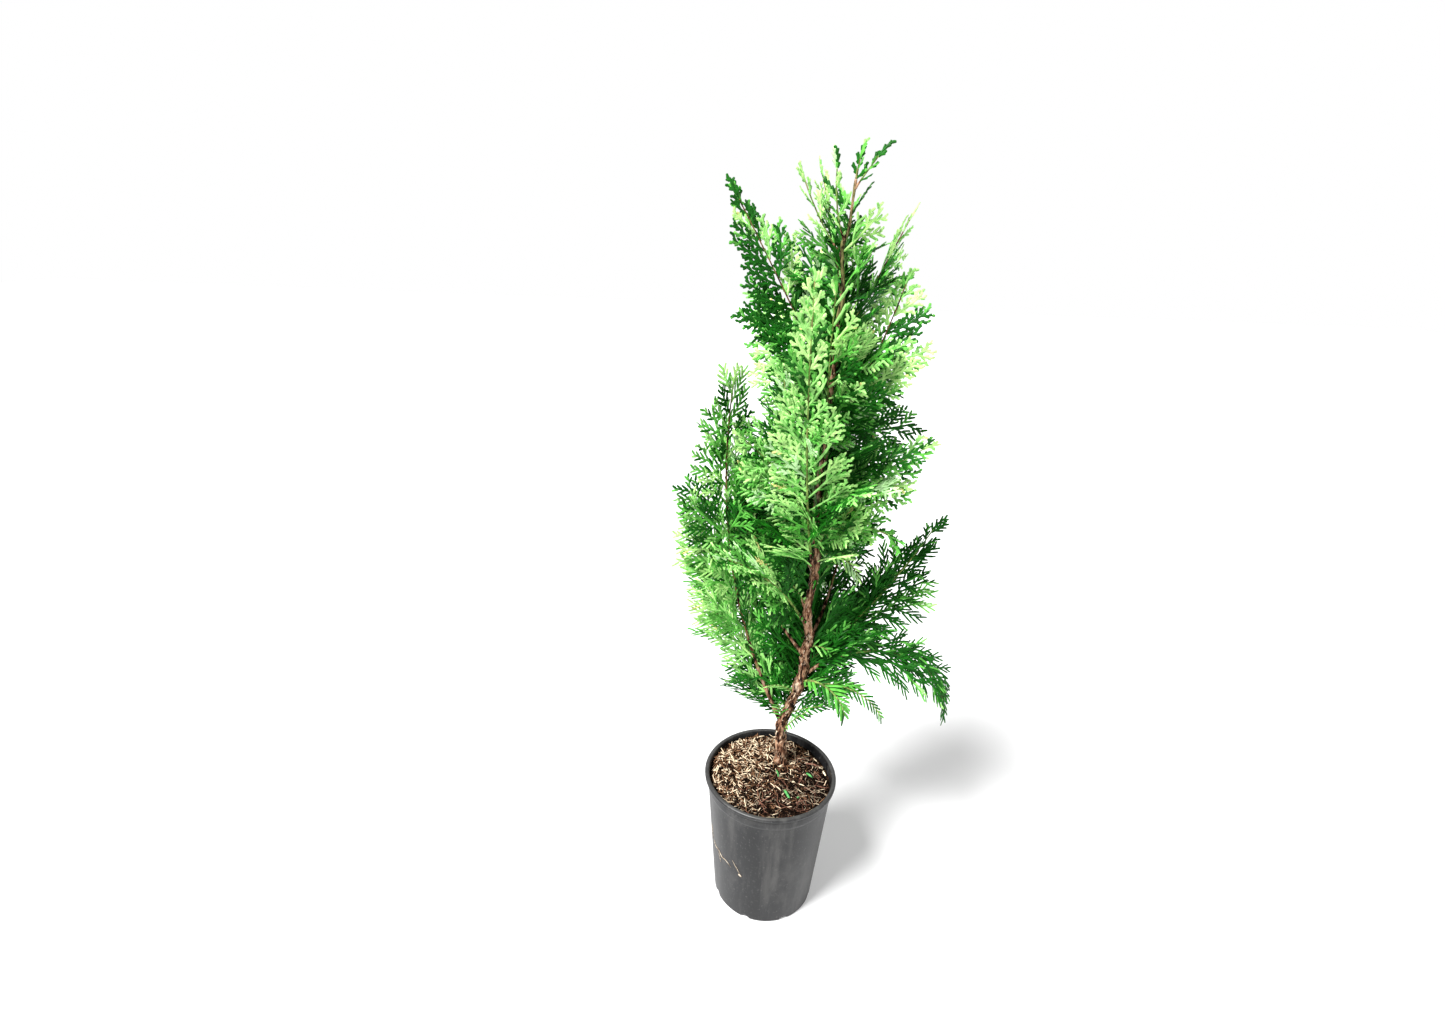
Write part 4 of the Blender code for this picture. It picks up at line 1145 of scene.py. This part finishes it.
class ARBOR_OT_soil(bpy.types.Operator):
    """Fill the pot with mix and strew hulls, chips and fibres over it"""

    bl_idname = "arbor.soil"
    bl_label = "Potting mix"

    def execute(self, context):
        sizes = context.scene.arbor_soil
        pot = context.scene.arbor_pot
        rule = random.Random("mix")
        fall = wall_fall(pot)
        inner = pot.wall_top - pot.wall - fall * (pot.height - SOIL_TOP) - 0.0001
        points = [(0.0, 0.0, soil_height(0.0, 0.0, sizes.relief))]
        for j in range(1, MIX_RINGS + 1):
            for k in range(MIX_STEPS):
                x, y = around(inner * j / MIX_RINGS, math.tau * (k + 0.5 * (j % 2)) / MIX_STEPS)
                points.append((x, y, soil_height(x, y, sizes.relief)))
        for z in (0.110, 0.060, MIX_FOOT):
            for k in range(MIX_STEPS):
                turn = math.tau * (k + 0.5 * (MIX_RINGS % 2)) / MIX_STEPS
                points.append((*around(inner - fall * (SOIL_TOP - z), turn), z))
        points.append((0.0, 0.0, MIX_FOOT))
        colours = (scaled(sizes.ground, 0.35), sizes.ground, scaled(sizes.tan, 0.5))
        look = speckled_material("potting_ground", colours, 520.0, 1.0, 0.03, 1.0, 0.0015)
        form = np.array(points), closed_tube(MIX_RINGS + 3, MIX_STEPS)[:, ::-1]
        piece("potting_ground", form, look, ("potting_mix",))
        hull = sizes.hull_length
        kinds = (
            ("hulls_straw", int(sizes.hulls * 0.30), sizes.straw, True, hull, 0.00046, 0.36),
            ("hulls_tan", int(sizes.hulls * 0.36), sizes.tan, True, hull, 0.00052, 0.30),
            ("shreds_brown", int(sizes.hulls * 0.36), sizes.brown, False, hull * 0.9, 0.00050, 0.25),
            ("fibres_red", sizes.fibres, sizes.red, False, 0.0105, 0.00021, 0.90),
            ("fibres_pale", sizes.fibres, scaled(sizes.straw, 0.55), False, 0.0080, 0.00020, 0.80),
        )
        for name, count, colour, *given in kinds:
            rows = [sliver_row(rule, sizes, inner, *given) for _ in range(count)]
            strewn(name, rows, HULL, colour)
        for kind in ("green", "red", "tan", "straw"):
            rows = [litter_row(sizes, *row[1:]) for row in LITTER if row[0] == kind]
            strewn("litter_" + kind, rows, FALLEN, getattr(sizes, kind))
        chips(sizes, rule, inner)
        return {"FINISHED"}


def flake_row(rule, line, radius_at):
    """One small flake of bark lifted off a limb."""
    share = rule.random() ** 1.15
    base, ahead = point_on(line, share)
    radius = radius_at(share)
    side = ahead.orthogonal().normalized()
    turn = rule.uniform(0.0, math.tau)
    out = side * math.cos(turn) + ahead.cross(side) * math.sin(turn)
    lean = rule.gauss(0.0, 0.28)
    along = ahead * (1.0 if rule.random() < 0.5 else -1.0) + ahead.cross(out) * lean + out * 0.03
    width = min(max(radius / 0.0044, 0.42), 1.1)
    length = rule.uniform(*FLAKE_LENGTH) * width
    half = rule.uniform(*FLAKE_HALF) * width
    bend = out * rule.uniform(-0.10, 0.34)
    return twig(base + out * (radius - 0.00006), along.normalized(), bend, length, out, half)


def flakes(sizes, runs):
    """Strews flakes of bark along the trunk and boughs, in pieces of one colour each."""
    rule = random.Random("bark flakes")
    names = ("bark_flakes_pale", "bark_flakes_tan", "bark_flakes_dark")
    rows = {name: [] for name in names}
    for line, radius_at, count in runs:
        for _ in range(count):
            row = flake_row(rule, line, radius_at)
            rows[rule.choices(names, weights=(0.30, 0.40, 0.30))[0]].append(row)
    for name, colour in zip(names, (sizes.pale, sizes.tan, sizes.dark)):
        strewn(name, rows[name], FLAKE, colour)


class ARBOR_OT_wood(bpy.types.Operator):
    """Grow the trunk and boughs with flaky bark"""

    bl_idname = "arbor.wood"
    bl_label = "Trunk and boughs"

    def execute(self, context):
        sizes = context.scene.arbor_wood
        limbs = plan_limbs()

        def bark(place, radius):
            """Height of the bark's relief."""
            ridge = noise.fractal(Vector((place.x * 300, place.y * 300, place.z * 95)), 0.8, 2.2, 4)
            flake = max(noise.noise(Vector((place.x * 520, place.y * 520, place.z * 170 + 9.0))), 0.0)
            lump = noise.noise(place * 105.0)
            return (ridge * 0.6 + flake * 1.0 + lump * 0.9) * min(sizes.relief, radius * 0.17)

        def trunk_at(height):
            """Radius of the trunk with its flare and a swelling at each bough."""
            share, fade = KNOT
            knots = sum(share * math.exp(-((height - limb.height + 0.001) / fade) ** 2) for limb in limbs)
            flare = FLARE[0] * math.exp(-max(height, 0.0) / FLARE[1])
            return trunk_radius(max(height, 0.0)) * (1.0 + min(knots, KNOT_MOST) + flare)

        corners = [trunk_point(row[0] * MM) for row in TRUNK_SIDE_MM]
        corners[0].z = SOIL_TOP - 0.004
        line = smooth_line(corners, 0.0010)
        brown = bark_material("trunk_bark", (sizes.dark, sizes.brown, sizes.tan, sizes.pale), 380.0)
        young = (scaled(sizes.dark, 0.9), sizes.green, scaled(sizes.green, 1.7), sizes.tan)
        green = bark_material("trunk_top_bark", young, 420.0)
        split = max(k for k, point in enumerate(line) if point.z < SOIL_TOP + sizes.green_from)
        parts = (("trunk_bark_mesh", line[:split + 1], brown), ("trunk_top_mesh", line[split:], green))
        for name, part, look in parts:
            ends = part[0].z - SOIL_TOP, part[-1].z - SOIL_TOP
            form = swept(part, lambda share: trunk_at(blend(*ends, share)), 32, bark)
            piece(name, form, look, ("trunk",))
        forms = []
        runs = [(line[:split], lambda share: trunk_at(sizes.green_from * share), FLAKES_OF_TRUNK)]
        for limb in limbs:
            run = smooth_line([point_on(limb.path, limb.bare * k / 6)[0] for k in range(7)], 0.0012)
            length = limb.bare * LIMB_STEPS * (limb.path[1] - limb.path[0]).length

            def bough_at(share, height=limb.height, length=length):
                """Radius of a bough with a collar at the trunk."""
                away = share * length - trunk_radius(height) * 0.9
                collar = COLLAR[0] * math.exp(-(away / COLLAR[1]) ** 2)
                return bough_radius(height) * (blend(1.0, BOUGH_TIP_SHARE, share) + collar)

            forms.append(swept(run, bough_at, 14, bark))
            runs.append((run, bough_at, int(length * FLAKES_PER_METRE)))
        for *shoot, radius in BARE_SHOOTS:
            run = smooth_line(shoot_path(*shoot), 0.0010)
            forms.append(swept(run, lambda share: radius * MM * blend(1.0, 0.55, share), 10, bark))
        piece("bough_bark_mesh", merged(forms), brown, nodes_named("bough_"))
        flakes(sizes, runs)
        return {"FINISHED"}


def slimness(height):
    """How slender the fingers are at a height above the mix, from 0 high up to 1 low down."""
    return ramp(height, BLUNT_ABOVE, SLIM_BELOW - BLUNT_ABOVE)


def held_in(base, ahead, length):
    """Length of a spray cut so that its tip stays inside the frame's box."""
    low, high = CAD_BOX
    while length > 0.006:
        tip = base + ahead * length
        if all(low[k] + EDGE < tip[k] < high[k] - EDGE for k in range(3)):
            break
        length *= 0.92
    return length


def spray_row(rule, base, azimuth, along, ahead, roll, hand, angle, length, tone, half, calm=1.0, part=1.0):
    """One side spray as a row of a batch, by the source's rule, and slender by a part of what is usual."""
    side, face = spray_axes(azimuth, along, ahead, roll + calm * TWIG_LIFT * rule.uniform(-1.0, 1.0))
    ends = []
    for turn in (math.radians(angle), math.radians(angle - TWIG_BEND)):
        ends.append(ahead * math.cos(turn) + side * (hand * math.sin(turn)))
    length = held_in(base, ends[0], length)
    slim = slimness(base.z - SOIL_TOP)
    sag = UP * (math.tan(math.radians(TWIG_SAG)) * rule.uniform(0.4, 1.2 + 0.8 * slim))
    across = ends[0].cross(face).normalized()
    tilt = math.radians(calm * TWIG_TILT * rule.uniform(-1.0, 1.0))
    plane = (face * math.cos(tilt) + across * math.sin(tilt)).normalized()
    return twig(base, ends[0], ends[1] - ends[0] - sag, length, plane, half, tone, slim * part)


def dealt_tone(rule, shares, share):
    """Tone of one spray, lighter towards the end of its limb and darker near its root, the darkening being
    painted shade.
    """
    tone = rule.choices(range(len(TONES)), weights=shares)[0]
    if share > PALER_NEAR_TIP[0] and tone in (1, 2) and rule.random() < PALER_NEAR_TIP[1]:
        tone += 1
    if share < DARKER_NEAR_ROOT[0] and tone in (1, 2, 3) and rule.random() < DARKER_NEAR_ROOT[1]:
        tone -= 1
    return tone


def placed_tone(rule, tone, base):
    """A tone made paler near the top of the crown, darker at its right as painted shade, and darker at its
    far left.
    """
    height = base.z - SOIL_TOP
    if tone in (1, 2) and rule.random() < blend(*PALER_HIGH, ramp(height, *PALER_ABOVE)):
        tone += 1
    right = SHADE_RIGHT_LOW if height < LOW_HEIGHT else SHADE_RIGHT_HIGH
    if base.x > right and rule.random() < blend(*SHADE_RIGHT_CHANCE, ramp(base.x, right, SHADE_RIGHT_WIDTH)):
        return int(DARKER[tone])
    if base.x < DARK_LEFT and rule.random() < blend(*DARKER_LEFT, ramp(base.x, DARK_LEFT, DARK_LEFT_WIDTH)):
        return int(DARKER[tone])
    return tone


def spray_places(rule, name, length, bare, spacing):
    """Places of side sprays along a limb: share of the limb and of its mass, size and turn."""
    places = []
    start = LEAFY_FROM.get(name, bare)
    low_spacing = spacing * LOW_SPACING
    for i in range(int((bare - start) * length / low_spacing)):
        along = start + i * low_spacing / length
        places.append((along, 0.0, blend(*LOW_SIZE, (along - start) / (bare - start)), 0.0))
    count = max(int(length * (1.0 - bare) * 0.97 / spacing), 5)
    for i in range(count):
        share = 0.01 + 0.96 * i / (count - 1)
        places.append((bare + (1.0 - bare) * share, share, 1.0, 0.0))
    for i in range(int(count * FULLNESS.get(name, PLAIN_FULLNESS))):
        share = rule.uniform(0.0, FILLING_TO)
        places.append((bare + (1.0 - bare) * share, share, FILLING_SIZE, rule.uniform(*FILLING_ROLL)))
    return places


def limb_sprays(limb, spacing, half):
    """Rows of side sprays along one limb and its mass, by the source's rule at a finer spacing."""
    name, _, azimuth, path, bare, roll = limb
    rule = random.Random("sprays " + name)
    spacing *= FAN_SPACING if name in FAN_LIMBS else 1.0
    calm = CALM if name in CALM_LIMBS else 1.0
    # Limbs at the low right take the 'shaded' shares, which paint their shade
    shares = TONE_SHARES["shaded" if name in SHADED_LIMBS else slot_of("foliage_" + name)]
    whole = (path[1] - path[0]).length * LIMB_STEPS
    spray = whole * (1.0 - bare)
    rows = []
    for i, (along, share, part, turn) in enumerate(spray_places(rule, name, whole, bare, spacing)):
        base, ahead = point_on(path, along)
        height = base.z - SOIL_TOP
        slim = slimness(height)
        close = blend(1.0, SLIM_ANGLE, slim) * blend(1.0, HIGH_ANGLE, ramp(height, *HIGH_SPRAYS))
        angle = blend(TWIG_ANGLE_ROOT, TWIG_ANGLE_TIP, share) * close
        angle += rule.uniform(-1.0, 1.0) * TWIG_JITTER
        length = twig_length(share, spray) * rule.uniform(*TWIG_VARIES) * part
        length *= blend(1.0, SLIM_LENGTH, slim) * SPRAY_SIZE.get(name, 1.0)
        tone = placed_tone(rule, dealt_tone(rule, shares, share), base)
        hand = 1.0 if i % 2 else -1.0
        lie = base, azimuth, along, ahead, roll + turn
        rows.append(spray_row(rule, *lie, hand, angle, length, tone, half, calm))
    base, ahead = point_on(path, 0.985)
    length = twig_length(1.0, spray) * 0.9
    tone = dealt_tone(rule, shares, 1.0)
    rows.append(spray_row(rule, base, azimuth, 1.0, ahead, roll, 1.0, 4.0, length, tone, half))
    return rows


def plain_fingers(limb, tone, lighter, finger, half):
    """Rows of plain hanging fingers along both sides of a short limb."""
    name, _, azimuth, path, start, roll = limb
    rule = random.Random("fingers " + name)
    length = (path[1] - path[0]).length * (len(path) - 1)
    count = int(length * (0.97 - start) / SPRIG_SPACING)
    rows = []
    for i in range(count):
        share = i / max(count - 1, 1)
        along = blend(start, 0.98, share)
        base, ahead = point_on(path, along)
        side, face = spray_axes(azimuth, along, ahead, roll)
        hand = 1.0 if i % 2 else -1.0
        turn = math.radians(blend(*SPRIG_ANGLE, share) + rule.uniform(-4.0, 4.0))
        out = ahead * math.cos(turn) + side * (hand * math.sin(turn))
        reach = finger * min(0.55 + 2.4 * share, 1.0) * blend(1.0, 0.55, max(share - 0.5, 0.0) * 2.0)
        bend = UP * -rule.uniform(*SPRIG_HANG)
        shade = tone + (1 if rule.random() < lighter else 0)
        rows.append(twig(base, out, bend, reach * rule.uniform(0.88, 1.10), face, half, shade))
    return rows


def inner_sprays(count, half):
    """Rows of short sprays that stand on the trunk between the limbs and fill the crown's inside."""
    rule = random.Random("inner sprays")
    rows = []
    for i in range(count):
        height = blend(INNER_LOW, INNER_HIGH, ((i + 0.5) / count) ** 1.25)
        azimuth = (INNER_TURN * i) % 360.0
        if not INNER_FRONT_FROM < height < INNER_FRONT_TO and INNER_FRONT[0] < azimuth < INNER_FRONT[1]:
            azimuth -= 180.0
        ahead = rising(azimuth, rule.uniform(*INNER_RISE))
        base = trunk_point(height) + level(azimuth) * trunk_radius(height) * 0.6
        length = table_value(REACH_MM, height / MM) * MM * rule.uniform(*INNER_REACH)
        length *= blend(1.0, HIGH_INNER_LENGTH, ramp(height, *HIGH_SPRAYS))
        # Inner sprays take dark tones, and the low ones the deepest, as painted shade inside the crown
        shares = TONE_SHARES[rule.choices(("shaded", "leaf_deep", "leaf_mid"), weights=INNER_SHARES)[0]]
        tone = dealt_tone(rule, shares, 0.3) if height > LOW_HEIGHT else 0
        lie = base, azimuth, 0.5, ahead, rule.uniform(*INNER_ROLL)
        rows.append(spray_row(rule, *lie, 1.0, 6.0, length, tone, half, 1.0, INNER_SLIM))
    for height, azimuth, length, rise in EXTRA_INNER:
        base, ahead = point_on(shoot_path(height, azimuth, length, rise, rise), 0.04)
        lie = base, azimuth, 0.5, ahead, 60.0
        rows.append(spray_row(rule, *lie, 1.0, 4.0, length * MM, 0, half, 1.0, INNER_SLIM))
    return rows


def swelling(share, start, peak, end):
    """Length of side twigs at a share of their parent: from start up to one at the peak, down to end."""
    rise = start + (1.0 - start) * share / peak
    fall = 1.0 - (1.0 - end) * (share - peak) / (1.0 - peak)
    return np.where(share < peak, rise, fall)


def side_twigs(parents, batch, spacing, half, slender=0.0, high=0.0):
    """Alternate side twigs along a batch of parents, flat in the parents' planes."""
    seed, span, form, *pairs = SIDE_TWIGS[batch]
    rule = np.random.default_rng(seed)
    rows = len(parents.length)
    values = []
    for scale, pair, high_share in zip((spacing, 1.0, 1.0, 1.0, 1.0, half, 1.0, 1.0), pairs, HIGH_SHARES):
        values.append(np.broadcast_to(scale * blend(*pair, slender) * blend(1.0, high_share, high), rows))
    spacing, share_of, most, wide, close, half, least, hang = values
    slots = int((parents.length * (span[1] - span[0]) / spacing).max()) + 2
    batches = []
    for k in range(slots):
        share = span[0] + (k + rule.uniform(-0.10, 0.10, rows)) * spacing / parents.length
        kept = (share < span[1]) & (share > 0.0)
        if not kept.any():
            continue
        some = parents.picked(kept)
        share = share[kept]
        base, ahead = some.at(share)
        side = unit(np.cross(ahead, some.face))
        hand = 1.0 if k % 2 else -1.0
        length = np.clip(share_of[kept] * some.length, least[kept] * 1.6, most[kept])
        length = length * swelling(share, *form) * rule.uniform(0.84, 1.12, len(length))
        turn = wide[kept] + (close[kept] - wide[kept]) * share + rule.normal(0.0, 2.2, len(length))
        turn = np.radians(turn)[:, None]
        lean = some.face * rule.normal(0.0, 0.07, len(length))[:, None]
        start = unit(ahead * np.cos(turn) + side * (hand * np.sin(turn)) + lean)
        end = ahead * np.cos(turn * 0.62) + side * (hand * np.sin(turn * 0.62)) + lean
        droop = np.array((0.0, 0.0, -1.0)) * (hang[kept] * rule.uniform(0.0, 1.0, len(length)))[:, None]
        # Twigs turn paler towards their parent's tip, as young growth and partly as painted highlight, and
        # darker towards its foot as painted shade
        chance = rule.random(len(length))
        tone = some.tone
        lighter = (tone < 4) & (chance < LIGHTER_CHANCE[tone] * np.clip(share * 1.8 - 0.5, 0.0, 1.0))
        darker = (tone > 0) & (chance > 1.0 - DARKER_CHANCE[tone] * np.clip(1.15 - 1.3 * share, 0.0, 1.0))
        tone = np.where(lighter, LIGHTER[tone], np.where(darker, DARKER[tone], tone))
        face = unit(some.face + side * rule.normal(0.0, 0.12, len(length))[:, None])
        fine = Twigs(base, start, end - start + droop, length, face, half[kept], tone, some.slim)
        batches.append(fine.picked(length > least[kept]))
    return joined_twigs(*batches)


def opened(twigs, paths, shares=(0.3, 0.7, 1.0), limbs=None):
    """The twigs that leave the openings in front of the wood free."""
    kept = np.ones(len(twigs.length), dtype=bool)
    for name, low, high, half in OPENINGS:
        if limbs and name not in limbs:
            continue
        if name == "trunk":
            ends = [trunk_point(height * MM) for height in (low, high)]
        else:
            ends = [point_on(paths[name], share)[0] for share in (low, high)]
        edges = np.array([tuple(end) for end in ends]) - EYE
        across = unit(np.cross(edges[:1], edges[1:]))[0]
        for share in shares:
            away = twigs.at(share)[0] - EYE
            parts = away @ np.linalg.pinv(edges)
            near = parts.sum(axis=1)
            inside = (parts.min(axis=1) > 0.0) & (near < 0.998)
            kept &= ~(inside & (np.abs(away @ across) < half * MM * near))
    return twigs.picked(kept)


def limb_growth(limbs, sizes):
    """Rows of the sprays, of the fans and of the plain fingers, and the forms of their stems."""
    rows = []
    fans = []
    blades = []
    stems = {"young_stems": [], "green_stems": []}
    half = sizes.half_width

    def rough(place, radius):
        """Relief of a stem."""
        return radius * 0.12 * noise.noise(place * 500)

    for limb in limbs:
        if limb.name in PINNATE:
            blades += plain_fingers(limb, 0, 0.60, PINNATE_FINGER, half * 1.12)
        else:
            grown = limb_sprays(limb, sizes.spray_spacing, half)
            (fans if limb.name in FAN_LIMBS else rows).extend(grown)
        root = LEADER_RADIUS if limb.name == "leader" else bough_radius(limb.height) * BOUGH_TIP_SHARE
        start = limb.bare * 0.985
        line = smooth_line([point_on(limb.path, blend(start, 1.0, k / 10))[0] for k in range(11)], 0.0016)
        form = swept(line, lambda share: blend(root, STEM_TIP_RADIUS, share), 8, rough)
        stems["green_stems" if limb.name in GREEN_STEMS else "young_stems"].append(form)
    for name, *shoot, tone in SPRIGS:
        path = shoot_path(*shoot)
        sprig = Limb(name, shoot[0] * MM, shoot[1], path, SPRIG_BARE, SPRIG_ROLL)
        blades += plain_fingers(sprig, tone, 0.34, SPRIG_FINGER, half * 0.86)
        form = swept(smooth_line(path, 0.0016), lambda share: blend(0.0007, 0.0004, share), 7, rough)
        stems["green_stems"].append(form)
    rows += inner_sprays(sizes.inner, half)
    return rows, fans, blades, stems


def finer_batches(rows, fans, blades, paths, sizes):
    """Batches of twigs by name, each grown on from the last and kept out of the openings."""
    steps = [k / OPEN_STEPS for k in range(1, OPEN_STEPS + 1)]
    sprays = opened(Twigs(*zip(*rows)), paths, steps, BARED_LIMBS)
    fans = opened(Twigs(*zip(*fans)), paths, steps, BARED_LIMBS)
    compound = sprays.length > sizes.compound_from
    axes = sprays.picked(compound)
    plain = sprays.picked(~compound)

    def grown(parents, batch, spacing, *lean):
        """Side twigs of a batch that leave the openings free."""
        return opened(side_twigs(parents, batch, spacing, sizes.half_width, *lean), paths)

    branchlets = grown(axes, "branchlets", sizes.branchlet_spacing, axes.slim)
    small = grown(branchlets, "small", sizes.finger_spacing, branchlets.slim)
    high = ramp(plain.base[:, 2] - SOIL_TOP, *HIGH_FINGERS)
    fingers = grown(plain, "fingers", sizes.finger_spacing, plain.slim, high)
    high = ramp(fans.base[:, 2] - SOIL_TOP, *HIGH_FANS)
    long_fingers = grown(fans, "long_fingers", sizes.long_finger_spacing, high)
    lobes = grown(long_fingers, "lobes", sizes.finger_spacing)
    return {
        "sprays": joined_twigs(sprays, fans),
        "branchlets": joined_twigs(branchlets, long_fingers),
        "fingers": fingers,
        "blades": Twigs(*zip(*blades)),
        "small": joined_twigs(small, lobes),
    }


def spray_pieces(tone, slot, forms, look):
    """Makes pieces of one tone, each under the face limit, that stand for the masses of its slot."""
    groups = [[]]
    held = 0
    for form in forms:
        if groups[-1] and held + len(form[1]) > PIECE_FACES:
            groups.append([])
            held = 0
        groups[-1].append(form)
        held += len(form[1])
    nodes = [name for name in nodes_named("foliage_") if slot_of(name) == slot]
    for index, group in enumerate(groups, 1):
        form = merged(group)
        if len(form[1]) > FACE_LIMIT:
            raise RuntimeError(f"piece {tone} {index} has {len(form[1])} faces")
        piece(f"sprays_{tone}_{index}", form, look, nodes, smooth=False)


class ARBOR_OT_sprays(bpy.types.Operator):
    """Grow the scale-leaved sprays of every foliage mass"""

    bl_idname = "arbor.sprays"
    bl_label = "Sprays"

    def execute(self, context):
        sizes = context.scene.arbor_foliage
        wood = context.scene.arbor_wood
        limbs = plan_limbs()
        leader = limb_path(trunk_point(TRUNK_TOP) + UP * GAP, LEADER_AZIMUTH, LEADER_LENGTH, *LEADER_RISE)
        limbs.append(Limb("leader", TRUNK_TOP, LEADER_AZIMUTH, leader, 0.0, LEADER_ROLL))
        rows, fans, blades, stems = limb_growth(limbs, sizes)
        batches = finer_batches(rows, fans, blades, {limb.name: limb.path for limb in limbs}, sizes)
        for index, (tone, slot) in enumerate(zip(TONES, TONE_SLOTS)):
            forms = []
            for batch, ribbon in RIBBONS.items():
                twigs = batches[batch]
                forms += ribbons(twigs.picked(twigs.tone == index), *ribbon)
            if forms:
                spray_pieces(tone, slot, forms, leaf_material("scale_leaf_" + tone, getattr(sizes, tone)))
        browns = (scaled(wood.dark, 1.2), scaled(wood.brown, 1.1), *STEM_YOUNG)
        for name, colours in (("young_stems", browns), ("green_stems", STEM_GREENS)):
            piece(name, merged(stems[name]), bark_material(name, colours, 420.0))
        return {"FINISHED"}


def pale_floor(sizes):
    """Wide floor with a faint light of its own, which softens the shadow."""
    mesh = bpy.data.meshes.new("floor")
    corners = [(FLOOR_HALF * x, FLOOR_HALF * y, 0.0) for x, y in ((-1, -1), (1, -1), (1, 1), (-1, 1))]
    mesh.from_pydata(corners, [], [(0, 1, 2, 3)])
    look, tree, shader = new_material("pale_floor", sizes.floor, 0.9, 0.1)
    feed(tree, shader, {"Emission Color": WHITE, "Emission Strength": sizes.glow})
    mesh.materials.append(look)
    placed("floor", mesh)


def even_light(strength):
    """World with an even light and a white backdrop for the camera."""
    world = bpy.data.worlds.new("even_light")
    world.use_nodes = True
    tree = world.node_tree
    even = tree.nodes["Background"]
    feed(tree, even, {"Color": WHITE, "Strength": strength})
    backdrop = add_node(tree, "Background", {"Color": WHITE})["Background"]
    seen = add_node(tree, "LightPath", {})["Is Camera Ray"]
    light = add_node(tree, "MixShader", {"Fac": seen, 1: even.outputs["Background"], 2: backdrop})
    feed(tree, tree.nodes["World Output"], {"Surface": light["Shader"]})
    return world


def lamp(name, kind, energy, place):
    """Lamp that shines on the plant."""
    light = bpy.data.lights.new(name, kind)
    light.energy = energy
    thing = placed(name, light)
    thing.location = place
    thing.rotation_euler = (Vector(TARGET) - Vector(place)).to_track_quat("-Z", "Y").to_euler()
    return light


class ARBOR_OT_stage(bpy.types.Operator):
    """Set the floor, the soft lights and the camera"""

    bl_idname = "arbor.stage"
    bl_label = "Stage"

    def execute(self, context):
        sizes = context.scene.arbor_stage
        scene = context.scene
        pale_floor(sizes)
        scene.world = even_light(sizes.sky)
        lamp("key", "SUN", sizes.key, KEY_PLACE).angle = math.radians(KEY_ANGLE)
        soft = lamp("fill", "AREA", sizes.fill, FILL_PLACE)
        soft.shape = "DISK"
        soft.size = FILL_SIZE
        camera = bpy.data.cameras.new("camera")
        camera.sensor_width = SENSOR
        camera.lens = LENS
        camera.clip_start = CLIP_START
        pitch = math.radians(PITCH)
        roll = math.radians(ROLL)
        right = Vector((math.cos(roll), math.sin(roll) * math.sin(pitch), math.sin(roll) * math.cos(pitch)))
        up = Vector((-math.sin(roll), math.cos(roll) * math.sin(pitch), math.cos(roll) * math.cos(pitch)))
        turn = Matrix((right, up, right.cross(up))).transposed().to_4x4()
        scene.camera = placed("camera", camera)
        scene.camera.matrix_world = Matrix.Translation(EYE) @ turn
        scene.view_settings.view_transform = "Standard"
        return {"FINISHED"}


class ARBOR_PT_panel(bpy.types.Panel):
    """Lists the steps and their settings"""

    bl_label = "Arborvitae"
    bl_idname = "ARBOR_PT_panel"
    bl_space_type = "VIEW_3D"
    bl_region_type = "UI"
    bl_category = "Arborvitae"

    def draw(self, context):
        for step in STEPS:
            self.layout.operator(step.bl_idname)
        for name in GROUPS:
            box = self.layout.box()
            settings = getattr(context.scene, name)
            for key in settings.bl_rna.properties.keys():
                if key not in ("rna_type", "name"):
                    box.prop(settings, key)


GROUPS = {
    "arbor_pot": PotSettings,
    "arbor_soil": SoilSettings,
    "arbor_wood": WoodSettings,
    "arbor_foliage": FoliageSettings,
    "arbor_stage": StageSettings,
}
STEPS = (ARBOR_OT_pot, ARBOR_OT_soil, ARBOR_OT_wood, ARBOR_OT_sprays, ARBOR_OT_stage)


def register():
    """Registers the settings, the operators and the panel."""
    for name, group in GROUPS.items():
        bpy.utils.register_class(group)
        setattr(bpy.types.Scene, name, PointerProperty(type=group))
    for step in (*STEPS, ARBOR_PT_panel):
        bpy.utils.register_class(step)


def unregister():
    """Takes the classes and settings out again."""
    for step in (ARBOR_PT_panel, *reversed(STEPS)):
        bpy.utils.unregister_class(step)
    for name, group in GROUPS.items():
        delattr(bpy.types.Scene, name)
        bpy.utils.unregister_class(group)


def main():
    """Registers the classes and runs every step."""
    register()
    for step in STEPS:
        family, name = step.bl_idname.split(".")
        getattr(getattr(bpy.ops, family), name)()


if __name__ == "__main__":
    main()
